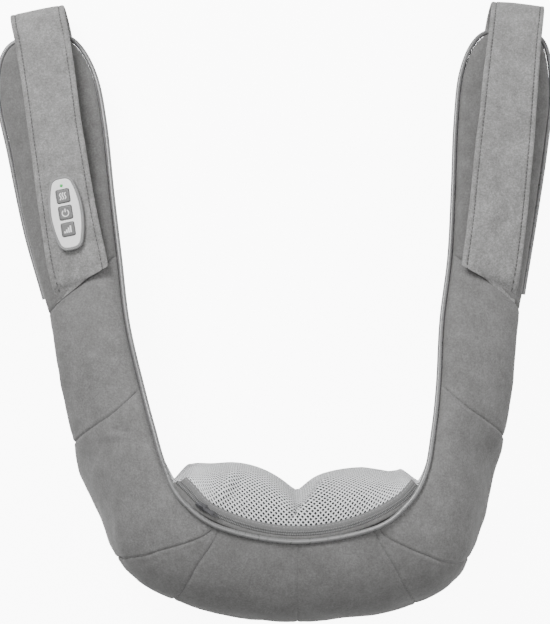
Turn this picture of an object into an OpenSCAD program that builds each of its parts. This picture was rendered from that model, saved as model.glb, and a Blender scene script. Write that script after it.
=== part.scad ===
// Shiatsu neck massager: a padded U-shaped collar that drapes over the shoulders.
// Two kneading heads turn behind a mesh cover in the band, driven by one worm.
// Each arm ends in a hand strap, and the left strap carries the control buttons.
// Millimetres. +X right, +Y from the band towards the arm tips, +Z up.
// The origin lies on the flat face of the base panel, straight below the worm.

/* [Covers] */
// Thickness of the sewn cover panels
panel_t = 2.6; // [2:0.1:2.8]
// Thickness of the mesh cover
mesh_t = 1.6; // [1.2:0.1:1.8]
// Thickness of the base panel
base_t = 2; // [1.5:0.5:2]
// Radius of the piping
piping_r = 2.2; // [1.5:0.1:2.4]
// Gap between a cover and the foam inside it
foam_gap = 1.8; // [1.6:0.1:3]

/* [Straps] */
// Width of the left hand strap at its middle
strap_w_left = 51.7; // [46:0.1:54]
// Width of the right hand strap at its middle
strap_w_right = 53.6; // [46:0.1:56]
// Thickness of both straps
strap_t = 4; // [3:0.5:4]

/* [Kneading heads] */
// Distance of each head's axis from the middle
head_x = 46; // [46:0.5:47]
// Height of both head axes above the base
head_z = 82; // [81:0.5:83]
// Distance of the large nodes from the head's axis
large_ring_r = 24; // [22:0.5:24]
// Radius of a large node
large_r = 14; // [12:0.5:14]
// Distance of the small nodes from the head's axis
small_ring_r = 22; // [20:0.5:22]
// Radius of a small node
small_r = 10.5; // [9:0.5:11]
// Radius of an output shaft
shaft_r = 4; // [3.5:0.25:4]

/* [Worm drive] */
// Teeth on each worm wheel
wheel_teeth = 50; // [50:1:50]
// Axial pitch of the worm thread
worm_pitch = 4.7124; // [4.7124:0.0001:4.7124]
// Radius of the motor can
motor_r = 14; // [12:0.5:14]
// Length of the motor can
motor_len = 38; // [34:1:38]

/* [Controls] */
// Length of the white fascia
fascia_len = 65; // [62:1:68]
// Width of the white fascia at its middle
fascia_w = 28; // [26:0.5:30]
// Side of a square button
button_w = 12.6; // [11:0.2:12.8]
// Distance from one button to the next
button_pitch = 15.7; // [15.4:0.1:16]
// Travel of a button
button_travel = 1; // [0.6:0.1:1]

/* [Power inlet] */
// Radius of the inlet's bore
inlet_r = 3.2; // [2.7:0.1:3.4]
// Length of the inlet's collar
inlet_len = 4; // [3:0.5:5]

/* [Hidden] */
$fn = 64;
RIGHT = 1;
LEFT = -1;
suede = [0.56, 0.56, 0.56];
suede_dark = [0.47, 0.47, 0.46];
mesh_grey = [0.8, 0.8, 0.81];
piping_grey = [0.62, 0.63, 0.64];
foam_cream = [0.9, 0.88, 0.8];
steel = [0.72, 0.73, 0.75];
black_plastic = [0.16, 0.16, 0.17];
board_green = [0.1, 0.35, 0.2];
brass = [0.75, 0.6, 0.3];

// Stations along one half of the collar, from the middle of the band to the arm
// tip: inner edge x y z, outer edge x y z, and how far the cover bulges between.
right_stations = [
    [0, 30, 150, 0, 34, -6, 85],
    [66, 41, 150, 66, 44, -6, 88],
    [97, 62, 149, 112, 56, 4, 84],
    [115, 90, 140, 150, 70, 25, 55],
    [124, 128, 128, 180, 88, 46, 26],
    [130, 168, 115, 190, 122, 72, 22],
    [135, 227, 98, 201, 188, 74, 20],
    [144, 286, 80, 209, 245, 65, 18],
    [149, 349, 62, 223, 320, 50, 16],
    [153, 412, 46, 235, 389, 37, 15],
    [160, 464, 33, 242, 449, 28, 14],
    [177, 497, 26, 235, 493, 24, 12],
    [208, 506, 23, 208, 506, 23, 0]
];
left_stations = [
    [0, 30, 150, 0, 34, -6, 85],
    [68, 42, 150, 68, 44, -6, 88],
    [104, 67, 149, 112, 56, 4, 84],
    [120, 96, 140, 150, 70, 25, 66],
    [132, 130, 128, 194, 92, 46, 37],
    [143, 165, 115, 206, 117, 72, 22],
    [158, 223, 98, 220, 180, 74, 20],
    [167, 285, 80, 233, 241, 65, 18],
    [176, 349, 62, 254, 310, 50, 16],
    [184, 412, 46, 271, 384, 37, 15],
    [195, 461, 33, 284, 445, 28, 14],
    [215, 493, 26, 276, 486, 24, 12],
    [244, 501, 23, 244, 501, 23, 0]
];
// Seams: the station at the inner edge, halfway round and at the outer edge
seam_middle = [0, 0, 0];
seam_gusset = [1.03, 1.3, 1.35];
seam_corner = [1.08, 2.35, 2.4];
seam_elbow = [5, 4.93, 4.95];
seam_strap = [7, 7, 7];
seam_tip = [11.92, 11.92, 11.92];
lining_start = [2.3, 2.3, 2.3];
lining_bulge = 9;
lining_gap = 0.4;
fullness = 2.4;
// The piping runs back up the outer edge as far as this station
piping_end = 7;

// Each strap runs from its seam over the arm, round the arm's tip and back underneath:
// x, y, height, sideways tilt, turn in plan, and width added to its own
strap_rows_left = [
    [199, 261.5, 94.5, 12, 9.5, 5], [203.7, 283, 95, 11, 10, 5.5], [210.4, 317, 91.8, 9.5, 9.8, 3.3],
    [218, 362, 85, 8, 9, 1.2], [224.6, 400, 78, 7, 8.8, 0], [231, 440, 68, 6, 9, 0],
    [239.6, 487, 53.5, 5, 10, 0.5], [245.3, 510, 43, 4, 11, 1], [248.3, 522, 28.5, 2, 11, 1],
    [248, 519, 11, 0, 11, 1], [244.8, 504, 2, 0, 11, 1], [239.5, 478, 2, 0, 10.5, 0.5],
    [234.3, 452, 10, 2, 10, 0], [229.5, 428, 19, 4, 10, 0]
];
strap_rows_right = [
    [177, 262.5, 94.5, 12, 6.5, 3], [180, 284, 95, 11, 6.5, 3.2], [184.7, 317, 91.8, 9.5, 6.5, 2.6],
    [190, 362, 85, 8, 6.3, 2.4], [194.5, 400, 78, 7, 6.2, 1.5], [199.3, 440, 68, 6, 5.8, 0],
    [205.3, 487, 53.5, 5, 5.2, -2], [209.5, 514, 42.5, 4, 4.6, -2], [212.3, 528, 28, 2, 4.5, -2],
    [212, 525, 10.5, 0, 4.5, -2], [209.5, 510, 2, 0, 4.5, -2], [204.7, 480, 2, 0, 5, -1.5],
    [201, 452, 10, 2, 5.5, -1], [198, 428, 19, 4, 6, -1]
];
strap_skew_left = 15;
strap_skew_right = 17;

// The zipper and the base follow arcs about this point
arc_y = 200;
zip_r = 163;
mesh_half = 43;
zip_half = 36;
facing_half = 31;
tape_z = 147.6;
coil_top = 150.2;
mesh_r = 158;
mesh_top = 147;
mesh_low = 2.3;
// Front of the mesh cover: in the valley between the heads, and over the heads
mesh_valley_y = 60;
mesh_crown_y = 85;

// Gearbox
wheel_r = wheel_teeth * worm_pitch / (2 * PI);
worm_r = head_x - wheel_r;
thread_depth = 1.7;
worm_turns = 5;
worm_len = worm_turns * worm_pitch;
wheel_w = 9;
wall = 2.5;
lobe_r = 43;
block_x = 26;
block_low = 15;
block_top = 125;
case_back = -27;
case_front = 17.5;
plate_front = 20.5;
ear_x = head_x + 45.5;
screw_places = [[-20, 118.5], [20, 118.5], [-20, 20], [20, 20], [-ear_x, head_z], [ear_x, head_z]];
bush_r = 6.5;
running_gap = 0.05;
motor_top = 58;
motor_shaft_r = 2;
carrier_back = 21.5;
carrier_front = 28;
large_y = 59;
small_y = 54;
lamp_places = [102, 62];
lamp_r = 3;
screw_r = 1.5;
worm_bush_z = 101;
worm_bush_r = 5;
board_y = -23;
motor_low = motor_top - motor_len;
left_turn = 40;
right_turn = 140;

// Power inlet, in the back of the band
inlet_at = [54, -49.3, 56];
flange_t = 1.5;
jack_body_r = 5.5;

// Controls, placed on the left strap
control_at = [-212, 325, 93.2];
control_turn = [-7, -9.5, 10.9];
button_places = [for (i = [1, 0, -1]) i * button_pitch + 0.4];
led_y = 26;
cable_r = 1.8;
cable_end = [-205, 293, 87.5];
cable_z = 98;

// ---------- vectors and curves ----------

function unit(v) = v / norm(v);
function part_of(v, first) = [v[first], v[first + 1], v[first + 2]];
function spow(v, p) = sign(v) * pow(abs(v), p);

// Smooth curve through four rows, between the second and the third
function smooth4(a, b, c, d, f) =
    0.5 * (2 * b + (c - a) * f + (2 * a - 5 * b + 4 * c - d) * f * f
    + (3 * b - a - 3 * c + d) * f * f * f);

// A station mirrored across the middle plane
function across(row) = [-row[0], row[1], row[2], -row[3], row[4], row[5], row[6]];

// The station at any position s along a table, with the first row as the middle
function station(rows, s) =
    s < 0 ? across(station(rows, -s)) :
    let (last = len(rows) - 1, i = min(floor(s), last - 1))
    smooth4(i == 0 ? across(rows[1]) : rows[i - 1], rows[i], rows[i + 1], rows[min(i + 2, last)], s - i);

function rows_of(side) = side == RIGHT ? right_stations : left_stations;
function inner_edge(rows, s) = part_of(station(rows, s), 0);
function outer_edge(rows, s) = part_of(station(rows, s), 3);
function run_of(rows, s) =
    let (a = station(rows, s - 0.05), b = station(rows, min(s + 0.05, len(rows) - 1)))
    unit(part_of(b, 0) + part_of(b, 3) - part_of(a, 0) - part_of(a, 3));
function outward(rows, s) = unit(cross(outer_edge(rows, s) - inner_edge(rows, s), run_of(rows, s)));

// Point on the cover at station s and arc position t from the inner edge (0) to
// the outer edge (1), set in by depth. rise is how far it bulges outwards.
function arc_point(rows, s, t, depth, rise) =
    let (a = inner_edge(rows, s), b = outer_edge(rows, s), along = unit(b - a),
        from = a + along * depth, to = b - along * depth,
        k = (1 - spow(cos(180 * t), 2 / fullness)) / 2,
        lift = sign(rise) * max(abs(rise) - depth, 0.2) * pow(sin(180 * t), 2 / fullness),
        p = from + (to - from) * k + outward(rows, s) * lift)
    [p[0], p[1], max(p[2], base_t + depth)];
function cover_point(rows, s, t, depth) = arc_point(rows, s, t, depth, station(rows, s)[6]);
function lining_point(rows, s, t, depth) =
    arc_point(rows, s, t, depth, -lining_bulge * min(1, (12.05 - s) / 1.5)) - lining_gap * outward(rows, s);

function to_side(side, p) = [side * p[0], p[1], p[2]];
function seam_at(seam, t) = t < 0.5 ? seam[0] + (seam[1] - seam[0]) * 2 * t
    : seam[1] + (seam[2] - seam[1]) * (2 * t - 1);

// ---------- closed solids from grids and rings ----------

function flipped(face) = [for (i = [len(face) - 1:-1:0]) face[i]];
function halves(q) = [[q[0], q[1], q[2]], [q[0], q[2], q[3]]];

// Solid between two grids of the same size, each a list of columns
module slab(outer, inner, flip) {
    nu = len(outer);
    nt = len(outer[0]);
    back = nu * nt;
    function at(k, i, j) = k * back + i * nt + j;
    eu = nu - 1;
    et = nt - 1;
    quads = concat(
        [for (i = [0:eu - 1], j = [0:et - 1]) [at(0, i, j), at(0, i + 1, j), at(0, i + 1, j + 1), at(0, i, j + 1)]],
        [for (i = [0:eu - 1], j = [0:et - 1]) [at(1, i, j), at(1, i, j + 1), at(1, i + 1, j + 1), at(1, i + 1, j)]],
        [for (i = [0:eu - 1]) [at(0, i, 0), at(1, i, 0), at(1, i + 1, 0), at(0, i + 1, 0)]],
        [for (i = [0:eu - 1]) [at(0, i, et), at(0, i + 1, et), at(1, i + 1, et), at(1, i, et)]],
        [for (j = [0:et - 1]) [at(0, 0, j), at(0, 0, j + 1), at(1, 0, j + 1), at(1, 0, j)]],
        [for (j = [0:et - 1]) [at(0, eu, j + 1), at(0, eu, j), at(1, eu, j), at(1, eu, j + 1)]]
    );
    tris = [for (q = quads) each halves(q)];
    polyhedron(
        [for (grid = [outer, inner]) for (column = grid) each column],
        [for (f = tris) flip ? flipped(f) : f],
        convexity = 6
    );
}

// Solid swept through a list of rings, closed at both ends
module sweep(rings, flip) {
    m = len(rings[0]);
    last = len(rings) - 1;
    sides = [for (i = [0:last - 1], j = [0:m - 1])
        let (k = (j + 1) % m) each halves([i * m + j, i * m + k, (i + 1) * m + k, (i + 1) * m + j])];
    caps = [[for (j = [m - 1:-1:0]) j], [for (j = [0:m - 1]) last * m + j]];
    polyhedron(
        [for (r = rings) each r],
        [for (f = concat(sides, caps)) flip ? flipped(f) : f],
        convexity = 8
    );
}

// Round rings about the points of a path
function tube_rings(path, r, sides) = [for (i = [0:len(path) - 1])
    let (run = unit(path[min(i + 1, len(path) - 1)] - path[max(i - 1, 0)]),
        u = unit(cross(abs(run[2]) > 0.9 ? [1, 0, 0] : [0, 0, 1], run)),
        v = cross(run, u))
    [for (k = [0:sides - 1]) path[i] + r * (cos(360 * k / sides) * u + sin(360 * k / sides) * v)]];

module tube(path, r, sides) sweep(tube_rings(path, r, sides), true);

// ---------- covers ----------

// Sewn panel between two seams
module panel(side, from, to, across_n, round_n, under = false) {
    rows = rows_of(side);
    function layer(depth) = [for (i = [0:across_n]) [for (j = [0:round_n])
        let (t = j / round_n, s = seam_at(from, t) + (seam_at(to, t) - seam_at(from, t)) * i / across_n)
        to_side(side, under ? lining_point(rows, s, t, depth) : cover_point(rows, s, t, depth))]];
    slab(layer(0), layer(panel_t), (side == LEFT) != under);
}

module back_panel_left() color(suede_dark) panel(LEFT, seam_middle, seam_gusset, 5, 18);
module back_panel_right() color(suede_dark)
    difference() {
        panel(RIGHT, seam_middle, seam_gusset, 5, 18);
        inlet_axis() cylinder(r = jack_body_r + 0.2, h = 40, center = true);
    }
module gusset_left() color(suede_dark) panel(LEFT, seam_gusset, seam_corner, 4, 16);
module gusset_right() color(suede_dark) panel(RIGHT, seam_gusset, seam_corner, 4, 16);
module corner_panel_left() color(suede) panel(LEFT, seam_corner, seam_elbow, 12, 14);
module corner_panel_right() color(suede) panel(RIGHT, seam_corner, seam_elbow, 12, 14);
module arm_panel_left() color(suede)
    difference() {
        panel(LEFT, seam_elbow, seam_strap, 5, 12);
        cable_run(cable_r + 0.3);
    }
module arm_panel_right() color(suede) panel(RIGHT, seam_elbow, seam_strap, 5, 12);
module pad_panel_left() color(suede_dark)
    difference() {
        panel(LEFT, seam_strap, seam_tip, 12, 12);
        cable_run(cable_r + 0.3);
    }
module pad_panel_right() color(suede_dark) panel(RIGHT, seam_strap, seam_tip, 12, 12);
module arm_lining_left() color(mesh_grey) panel(LEFT, lining_start, seam_tip, 20, 8, true);
module arm_lining_right() color(mesh_grey) panel(RIGHT, lining_start, seam_tip, 20, 8, true);

// Piping along the inner edge, round the arm tip and back along the outer edge
function edge_side(rows, s, outer) =
    let (h = 0.06, a = outer ? outer_edge(rows, s - h) : inner_edge(rows, s - h),
        b = outer ? outer_edge(rows, min(s + h, 12)) : inner_edge(rows, min(s + h, 12)),
        run = unit(b - a), n = outward(rows, min(s, 11.8)))
    outer ? unit(cross(run, n)) : unit(cross(n, run));
function piping_path(side) =
    let (rows = rows_of(side), off = piping_r + 0.6)
    [for (p = concat(
        [for (s = [0:0.5:9.5]) inner_edge(rows, s) + off * edge_side(rows, s, false)],
        [for (s = [10:0.25:11.75]) inner_edge(rows, s) + off * edge_side(rows, s, false)],
        [for (s = [11.75:-0.25:10]) outer_edge(rows, s) + off * edge_side(rows, s, true)],
        [for (s = [9.5:-0.5:piping_end]) outer_edge(rows, s) + off * edge_side(rows, s, true)]
    )) to_side(side, p)];
module piping_left() color(piping_grey) tube(piping_path(LEFT), piping_r, 8);
module piping_right() color(piping_grey) tube(piping_path(RIGHT), piping_r, 8);

// Front of the mesh cover at a distance x from the middle
function mesh_front(x) = mesh_crown_y - (mesh_crown_y - mesh_valley_y) * exp(-abs(x) / 17);
function mesh_point(u, v, depth) =
    let (turn = mesh_half * u, x = mesh_r * sin(turn), y = arc_y - mesh_r * cos(turn),
        mid = (mesh_top + mesh_low) / 2, half = (mesh_top - mesh_low) / 2 - depth,
        out = mesh_front(norm([x, 4])) - y - depth)
    [x, y + out * pow(sin(180 * v), 2 / fullness), mid + half * spow(cos(180 * v), 2 / fullness)];
module mesh_cover() {
    function layer(depth) = [for (i = [-16:16]) [for (j = [0:14]) mesh_point(i / 16, j / 14, depth)]];
    color(mesh_grey) slab(layer(0), layer(mesh_t), true);
}

// Arc of a section about the centre of the U, half each side of the middle
module arc_bar(half, r0, r1, z0, z1)
    translate([0, arc_y, 0]) rotate([0, 0, -90 - half]) rotate_extrude(angle = 2 * half, $fn = 180)
        translate([r0, z0]) square([r1 - r0, z1 - z0]);

module base_panel() color(suede_dark) arc_bar(35, 158.5, 212, 0, base_t);
module zipper_tape() color(suede_dark) {
    arc_bar(zip_half, mesh_r - 1, zip_r - 1.2, tape_z, tape_z + 1.2);
    arc_bar(facing_half, zip_r + 1.2, 169, tape_z, tape_z + 1.2);
}
module zipper_coil() color(piping_grey) arc_bar(zip_half, zip_r - 1.1, zip_r + 1.1, tape_z, coil_top);

// Zipper slider at the left end of the coil, with its pull tab laid along it
module zipper_slider() color(steel)
    translate([0, arc_y, 0]) rotate([0, 0, -zip_half + 4]) translate([0, -zip_r, coil_top + 0.4]) {
        translate([-5, -3.4, 0]) cube([10, 6.8, 1.6]);
        translate([-2.5, -1, 1.6]) cube([5, 2, 1.4]);
        translate([2.5, -2, 1.8]) difference() {
            cube([15, 4, 1]);
            translate([11.5, 2, -1]) cylinder(r = 1.2, h = 3);
        }
    }

// ---------- straps ----------

function strap_row(rows, s) =
    let (last = len(rows) - 1, i = min(floor(s), last - 1))
    smooth4(rows[max(i - 1, 0)], rows[i], rows[i + 1], rows[min(i + 2, last)], s - i);
function strap_centre(rows, s) =
    let (row = strap_row(rows, s)) [row[0], row[1], max(row[2], strap_t / 2)];
function strap_ring(side, rows, width, skew, s) =
    let (last = len(rows) - 1, row = strap_row(rows, s), tilt = row[3], yaw = -row[4],
        c = strap_centre(rows, s),
        run = unit(strap_centre(rows, min(s + 0.05, last)) - strap_centre(rows, max(s - 0.05, 0))),
        wide = [cos(yaw) * cos(tilt), sin(yaw) * cos(tilt), -sin(tilt)],
        up = unit(cross(wide, run)) * strap_t / 2,
        edge = wide * (width + row[5]) / 2 - run * skew * max(0, 1 - s * 1.6))
    [for (p = [c + edge + up, c + edge - up, c - edge - up, c - edge + up])
        [side * p[0], p[1], max(p[2], 0)]];
module strap(side, rows, width, skew)
    sweep([for (i = [0:(len(rows) - 1) * 3]) strap_ring(side, rows, width, skew, i / 3)], side == RIGHT);

module strap_left() color(suede)
    difference() {
        strap(LEFT, strap_rows_left, strap_w_left, strap_skew_left);
        on_strap() translate([0, 0, -12]) linear_extrude(24) fascia_outline(-2);
    }
module strap_right() color(suede) strap(RIGHT, strap_rows_right, strap_w_right, strap_skew_right);

// ---------- foam ----------

// Solid core of an arm, set in from the cover and the lining
module arm_core(side, from, to, n) {
    rows = rows_of(side);
    depth = panel_t + foam_gap;
    round_n = 10;
    sweep([for (i = [0:n]) let (s = from + (to - from) * i / n)
        [for (j = [0:2 * round_n - 1])
            to_side(side, j < round_n ? cover_point(rows, s, j / round_n, depth)
                : lining_point(rows, s, 2 - j / round_n, depth))]], side == LEFT);
}
module arm_foam_left() color(foam_cream)
    difference() {
        arm_core(LEFT, 2.4, 11.2, 24);
        cable_run(cable_r + 0.4);
    }
module arm_foam_right() color(foam_cream) arm_core(RIGHT, 2.4, 11.2, 24);
module back_foam() color(foam_cream) translate([-44, -41, 46]) cube([88, 11.5, 60]);

// ---------- gearbox ----------

// Extrudes an x-z outline from y0 to y1
module along_y(y0, y1) translate([0, y1, 0]) rotate([90, 0, 0]) linear_extrude(y1 - y0) children();
module rod_y(x, z, r, y0, y1) along_y(y0, y1) translate([x, z]) circle(r);

module case_outline(inset) {
    for (x = [-head_x, head_x]) translate([x, head_z]) circle(lobe_r - inset);
    translate([-block_x + inset, block_low + inset])
        square([2 * (block_x - inset), block_top - block_low - 2 * inset]);
}
module ears() for (x = [-ear_x, ear_x]) translate([x, head_z]) circle(5);

module rear_housing() color(black_plastic)
    difference() {
        union() {
            difference() {
                along_y(case_back, case_front) union() {
                    case_outline(0);
                    ears();
                }
                along_y(case_back + wall, case_front + 1) case_outline(wall);
            }
            for (p = screw_places) if (abs(p[0]) < block_x) rod_y(p[0], p[1], 3.4, case_back + 1, case_front);
            for (x = [-head_x, head_x]) rod_y(x, head_z, bush_r + 2.5, case_back + 1, -15);
            translate([-8, case_back + 1, worm_bush_z]) cube([16, -case_back + 6, 8]);
            for (x = [-17, 17], z = [54, 94]) rod_y(x, z, 2.2, case_back + 1, board_y);
        }
        for (x = [-head_x, head_x]) rod_y(x, head_z, bush_r, case_back + 4, 0);
        for (p = screw_places) rod_y(p[0], p[1], screw_r, -12, case_front + 1);
        translate([0, 0, worm_bush_z - 1]) cylinder(r = worm_bush_r, h = 10);
        translate([-100, -8, cable_z]) rotate([0, 90, 0]) cylinder(r = cable_r + 0.5, h = 20);
        translate([head_x + 10, case_back - 1, 60]) rotate([-90, 0, 0]) cylinder(r = 4, h = 5);
    }
module front_housing() color(black_plastic)
    difference() {
        union() {
            along_y(case_front, plate_front) union() {
                case_outline(0);
                ears();
            }
            for (x = [-head_x, head_x]) rod_y(x, head_z, bush_r + 2, 10, case_front + 1);
        }
        for (x = [-head_x, head_x]) rod_y(x, head_z, bush_r, 9, plate_front + 1);
        for (p = screw_places) rod_y(p[0], p[1], screw_r, case_front - 1, plate_front + 1);
        for (z = lamp_places) rod_y(0, z, lamp_r, case_front - 1, plate_front + 1);
    }
module housing_screws() color(steel)
    for (p = screw_places) {
        rod_y(p[0], p[1], screw_r, -10, plate_front + 0.5);
        rod_y(p[0], p[1], 2.8, plate_front, plate_front + 1.8);
    }
module shaft_bushes() color(brass)
    for (x = [-head_x, head_x]) {
        along_y(case_back + 4.2, -15) translate([x, head_z]) ring(bush_r, shaft_r + running_gap);
        along_y(10, plate_front) translate([x, head_z]) ring(bush_r, shaft_r + running_gap);
    }
module ring(r_out, r_in) difference() {
    circle(r_out);
    circle(r_in);
}
module heat_lamps() color([0.75, 0.12, 0.1])
    for (z = lamp_places) {
        rod_y(0, z, lamp_r, 15, 24);
        translate([0, 24, z]) sphere(lamp_r);
        rod_y(0, z, 4.2, 14, case_front);
    }
module main_board() color(board_green) {
    translate([-20, board_y, 50]) cube([40, 1.6, 48]);
    for (x = [-12, 0, 12]) translate([x - 4, board_y + 1.6, 62]) cube([8, 2.5, 10]);
}

// ---------- motor and worm ----------

module motor_can() color(steel)
    difference() {
        translate([0, 0, motor_low]) cylinder(r = motor_r, h = motor_len);
        translate([0, 0, motor_low - 1]) cylinder(r = motor_r - 1.4, h = motor_len - 0.4);
        cylinder(r = motor_shaft_r + running_gap, h = 100);
    }
module motor_end_cap() color(black_plastic)
    difference() {
        union() {
            translate([0, 0, motor_low - 2]) cylinder(r = motor_r, h = 2);
            translate([0, 0, motor_low - 1]) cylinder(r = motor_r - 1.4, h = 4);
        }
        translate([0, 0, motor_low - 0.5]) cylinder(r = motor_shaft_r + running_gap, h = 10);
    }
module motor_clamp() color(steel)
    translate([0, 0, 28]) difference() {
        union() {
            cylinder(r = motor_r + 2, h = 12);
            translate([-motor_r - 2, case_back + wall, 0]) cube([2 * motor_r + 4, -case_back - wall, 12]);
        }
        translate([0, 0, -1]) cylinder(r = motor_r, h = 14);
        translate([-motor_r, case_back + wall - 1, -1]) cube([2 * motor_r, 16, 14]);
    }
module motor_shaft() color(steel) translate([0, 0, motor_low]) cylinder(r = motor_shaft_r, h = 108 - motor_low);
module motor_rotor() color([0.7, 0.4, 0.2])
    translate([0, 0, motor_low + 7]) linear_extrude(24) difference() {
        union() {
            circle(6);
            for (a = [0:72:288]) rotate(a) translate([0, -2]) square([9, 4]);
            for (a = [0:72:288]) rotate(a) intersection() {
                ring(motor_r - 2.6, motor_r - 5);
                translate([0, -5]) square([20, 10]);
            }
        }
        circle(motor_shaft_r);
    }
module worm() color(black_plastic)
    difference() {
        translate([0, 0, head_z]) rotate([0, 0, -180 * worm_turns])
            translate([0, 0, -worm_len / 2]) linear_extrude(worm_len, twist = -360 * worm_turns,
                slices = 12 * worm_turns) translate([thread_depth, 0]) circle(worm_r - 0.2, $fn = 18);
        translate([0, 0, head_z - worm_len]) cylinder(r = motor_shaft_r, h = 2 * worm_len);
    }
module worm_bush() color(brass) translate([0, 0, worm_bush_z]) linear_extrude(8)
    ring(worm_bush_r, motor_shaft_r + running_gap);

// ---------- kneading heads ----------

// One wheel tooth at angle a: root, flank and tip, on both sides
function tooth(a) = [for (p = [[wheel_r - 1.9, -1.3], [wheel_r, -0.7], [wheel_r + 1.2, -0.25],
        [wheel_r + 1.2, 0.25], [wheel_r, 0.7], [wheel_r - 1.9, 1.3]])
    let (b = a + asin(p[1] / p[0])) p[0] * [cos(b), sin(b)]];
module worm_wheel(x, phase) color("ivory")
    difference() {
        union() {
            along_y(-wheel_w / 2, wheel_w / 2) translate([x, head_z])
                polygon([for (k = [0:wheel_teeth - 1]) each tooth(phase + 360 * k / wheel_teeth)]);
            rod_y(x, head_z, 9, -8, 8);
        }
        rod_y(x, head_z, shaft_r, -20, 20);
        for (a = [30:60:330])
            rod_y(x + 21 * cos(a), head_z + 21 * sin(a), 7, -10, 10);
    }
module output_shaft(x) color(steel) rod_y(x, head_z, shaft_r, case_back + 4.5, carrier_front - 0.5);

// Places of the two nodes of a pair, about the head at x
module pair_at(x, r, turn) for (a = [turn, turn + 180])
    translate([x + r * cos(a), 0, head_z + r * sin(a)]) children();
module arm_bar(x, r, half, turn) along_y(carrier_back, carrier_front)
    translate([x, head_z]) rotate(turn) translate([-r, -half]) square([2 * r, 2 * half]);
module carrier(x, turn) color(black_plastic)
    difference() {
        union() {
            rod_y(x, head_z, 12, carrier_back, carrier_front);
            arm_bar(x, large_ring_r, 7, turn);
            arm_bar(x, small_ring_r, 6, turn + 90);
            pair_at(x, large_ring_r, turn) rod_y(0, 0, 11, carrier_back, carrier_front);
            pair_at(x, small_ring_r, turn + 90) rod_y(0, 0, 9, carrier_back, carrier_front);
        }
        rod_y(x, head_z, shaft_r, carrier_back - 1, carrier_front - 0.5);
        rod_y(x, head_z, 2.2, carrier_back, carrier_front + 1);
    }
module carrier_screw(x) color(steel) {
    rod_y(x, head_z, 2.2, carrier_front - 0.5, carrier_front + 0.5);
    rod_y(x, head_z, 4.5, carrier_front, carrier_front + 2.5);
}
// A domed node on its stem, standing on the carrier
module node_dome(r, stem_r, y) {
    rod_y(0, 0, stem_r, carrier_front, y);
    translate([0, y, 0]) sphere(r);
}
module large_nodes(x, turn) color([0.42, 0.42, 0.45])
    pair_at(x, large_ring_r, turn) node_dome(large_r, 9.5, large_y);
module small_nodes(x, turn) color([0.42, 0.42, 0.45])
    pair_at(x, small_ring_r, turn + 90) node_dome(small_r, 7.5, small_y);

module left_worm_wheel() worm_wheel(-head_x, 0);
module left_output_shaft() output_shaft(-head_x);
module left_carrier() carrier(-head_x, left_turn);
module left_carrier_screw() carrier_screw(-head_x);
module left_large_nodes() large_nodes(-head_x, left_turn);
module left_small_nodes() small_nodes(-head_x, left_turn);
module right_worm_wheel() worm_wheel(head_x, 180 / wheel_teeth);
module right_output_shaft() output_shaft(head_x);
module right_carrier() carrier(head_x, right_turn);
module right_carrier_screw() carrier_screw(head_x);
module right_large_nodes() large_nodes(head_x, right_turn);
module right_small_nodes() small_nodes(head_x, right_turn);

// ---------- power inlet ----------

// Puts +Z along the inlet's axis, out of the back of the band
module inlet_axis() translate(inlet_at) rotate([90, 0, 0]) children();
module dc_jack() color(black_plastic)
    inlet_axis() difference() {
        union() {
            cylinder(r = 7.5, h = flange_t);
            translate([0, 0, -14]) cylinder(r = jack_body_r, h = 14);
        }
        translate([0, 0, flange_t - inlet_len]) cylinder(r = inlet_r, h = inlet_len + 1);
        translate([0, 0, -12]) cylinder(r = inlet_r - 0.4, h = 12);
    }
module jack_nut() color(steel)
    inlet_axis() translate([0, 0, -10]) difference() {
        cylinder(r = 8, h = 3, $fn = 6);
        translate([0, 0, -1]) cylinder(r = jack_body_r, h = 5);
    }

// ---------- controls ----------

module on_strap() translate(control_at) rotate(control_turn) children();

// Fascia outline: bowed sides, nearly flat ends and rounded corners
module fascia_outline(grow) {
    side_r = 88;
    corner_r = 7;
    offset(r = corner_r + grow, $fn = 40) offset(delta = -corner_r) intersection() {
        translate([fascia_w / 2 - side_r, 0]) circle(side_r, $fn = 160);
        translate([side_r - fascia_w / 2, 0]) circle(side_r, $fn = 160);
        translate([0, -5]) circle(fascia_len / 2 + 5, $fn = 90);
        translate([0, 5]) circle(fascia_len / 2 + 5, $fn = 90);
    }
}
module rounded_square(w, r) offset(r = r, $fn = 24) square(w - 2 * r, center = true);
module button_row(w) for (y = button_places) translate([0, y]) rounded_square(w, 1.6);

module control_case() color(black_plastic)
    on_strap() difference() {
        translate([0, 0, -9]) linear_extrude(11.2) fascia_outline(-2.6);
        translate([0, 0, -7.4]) linear_extrude(12) fascia_outline(-4.2);
        translate([0, -fascia_len / 2 - 2, -4.5]) rotate([-90, 0, 0]) cylinder(r = cable_r + 0.2, h = 10);
    }
module control_bezel() color(piping_grey)
    on_strap() translate([0, 0, 2.4]) linear_extrude(3) difference() {
        fascia_outline(2.4);
        fascia_outline(0.1);
    }
module control_fascia() color([0.93, 0.94, 0.94])
    on_strap() difference() {
        translate([0, 0, 2.4]) linear_extrude(3.4) fascia_outline(0);
        translate([0, 0, 0.4]) linear_extrude(3) translate([-8.5, -30]) square([17, 62]);
        translate([0, 0, 2]) linear_extrude(5) button_row(button_w + 0.7);
        translate([0, led_y, 2]) cylinder(r = 1.6, h = 5);
    }
module push_button(y) color([0.6, 0.61, 0.63])
    on_strap() {
        translate([0, y, 1.6]) linear_extrude(4.8) rounded_square(button_w, 1.5);
        translate([0, y, 1.6]) linear_extrude(1.4) rounded_square(button_w + 1.2, 1.5);
    }
module button_heat() push_button(button_places[0]);
module button_power() push_button(button_places[1]);
module button_speed() push_button(button_places[2]);
module led_lens() color([0.3, 0.8, 0.35])
    on_strap() translate([0, led_y, 0.5]) cylinder(r = 1.6, h = 5.6);
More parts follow.
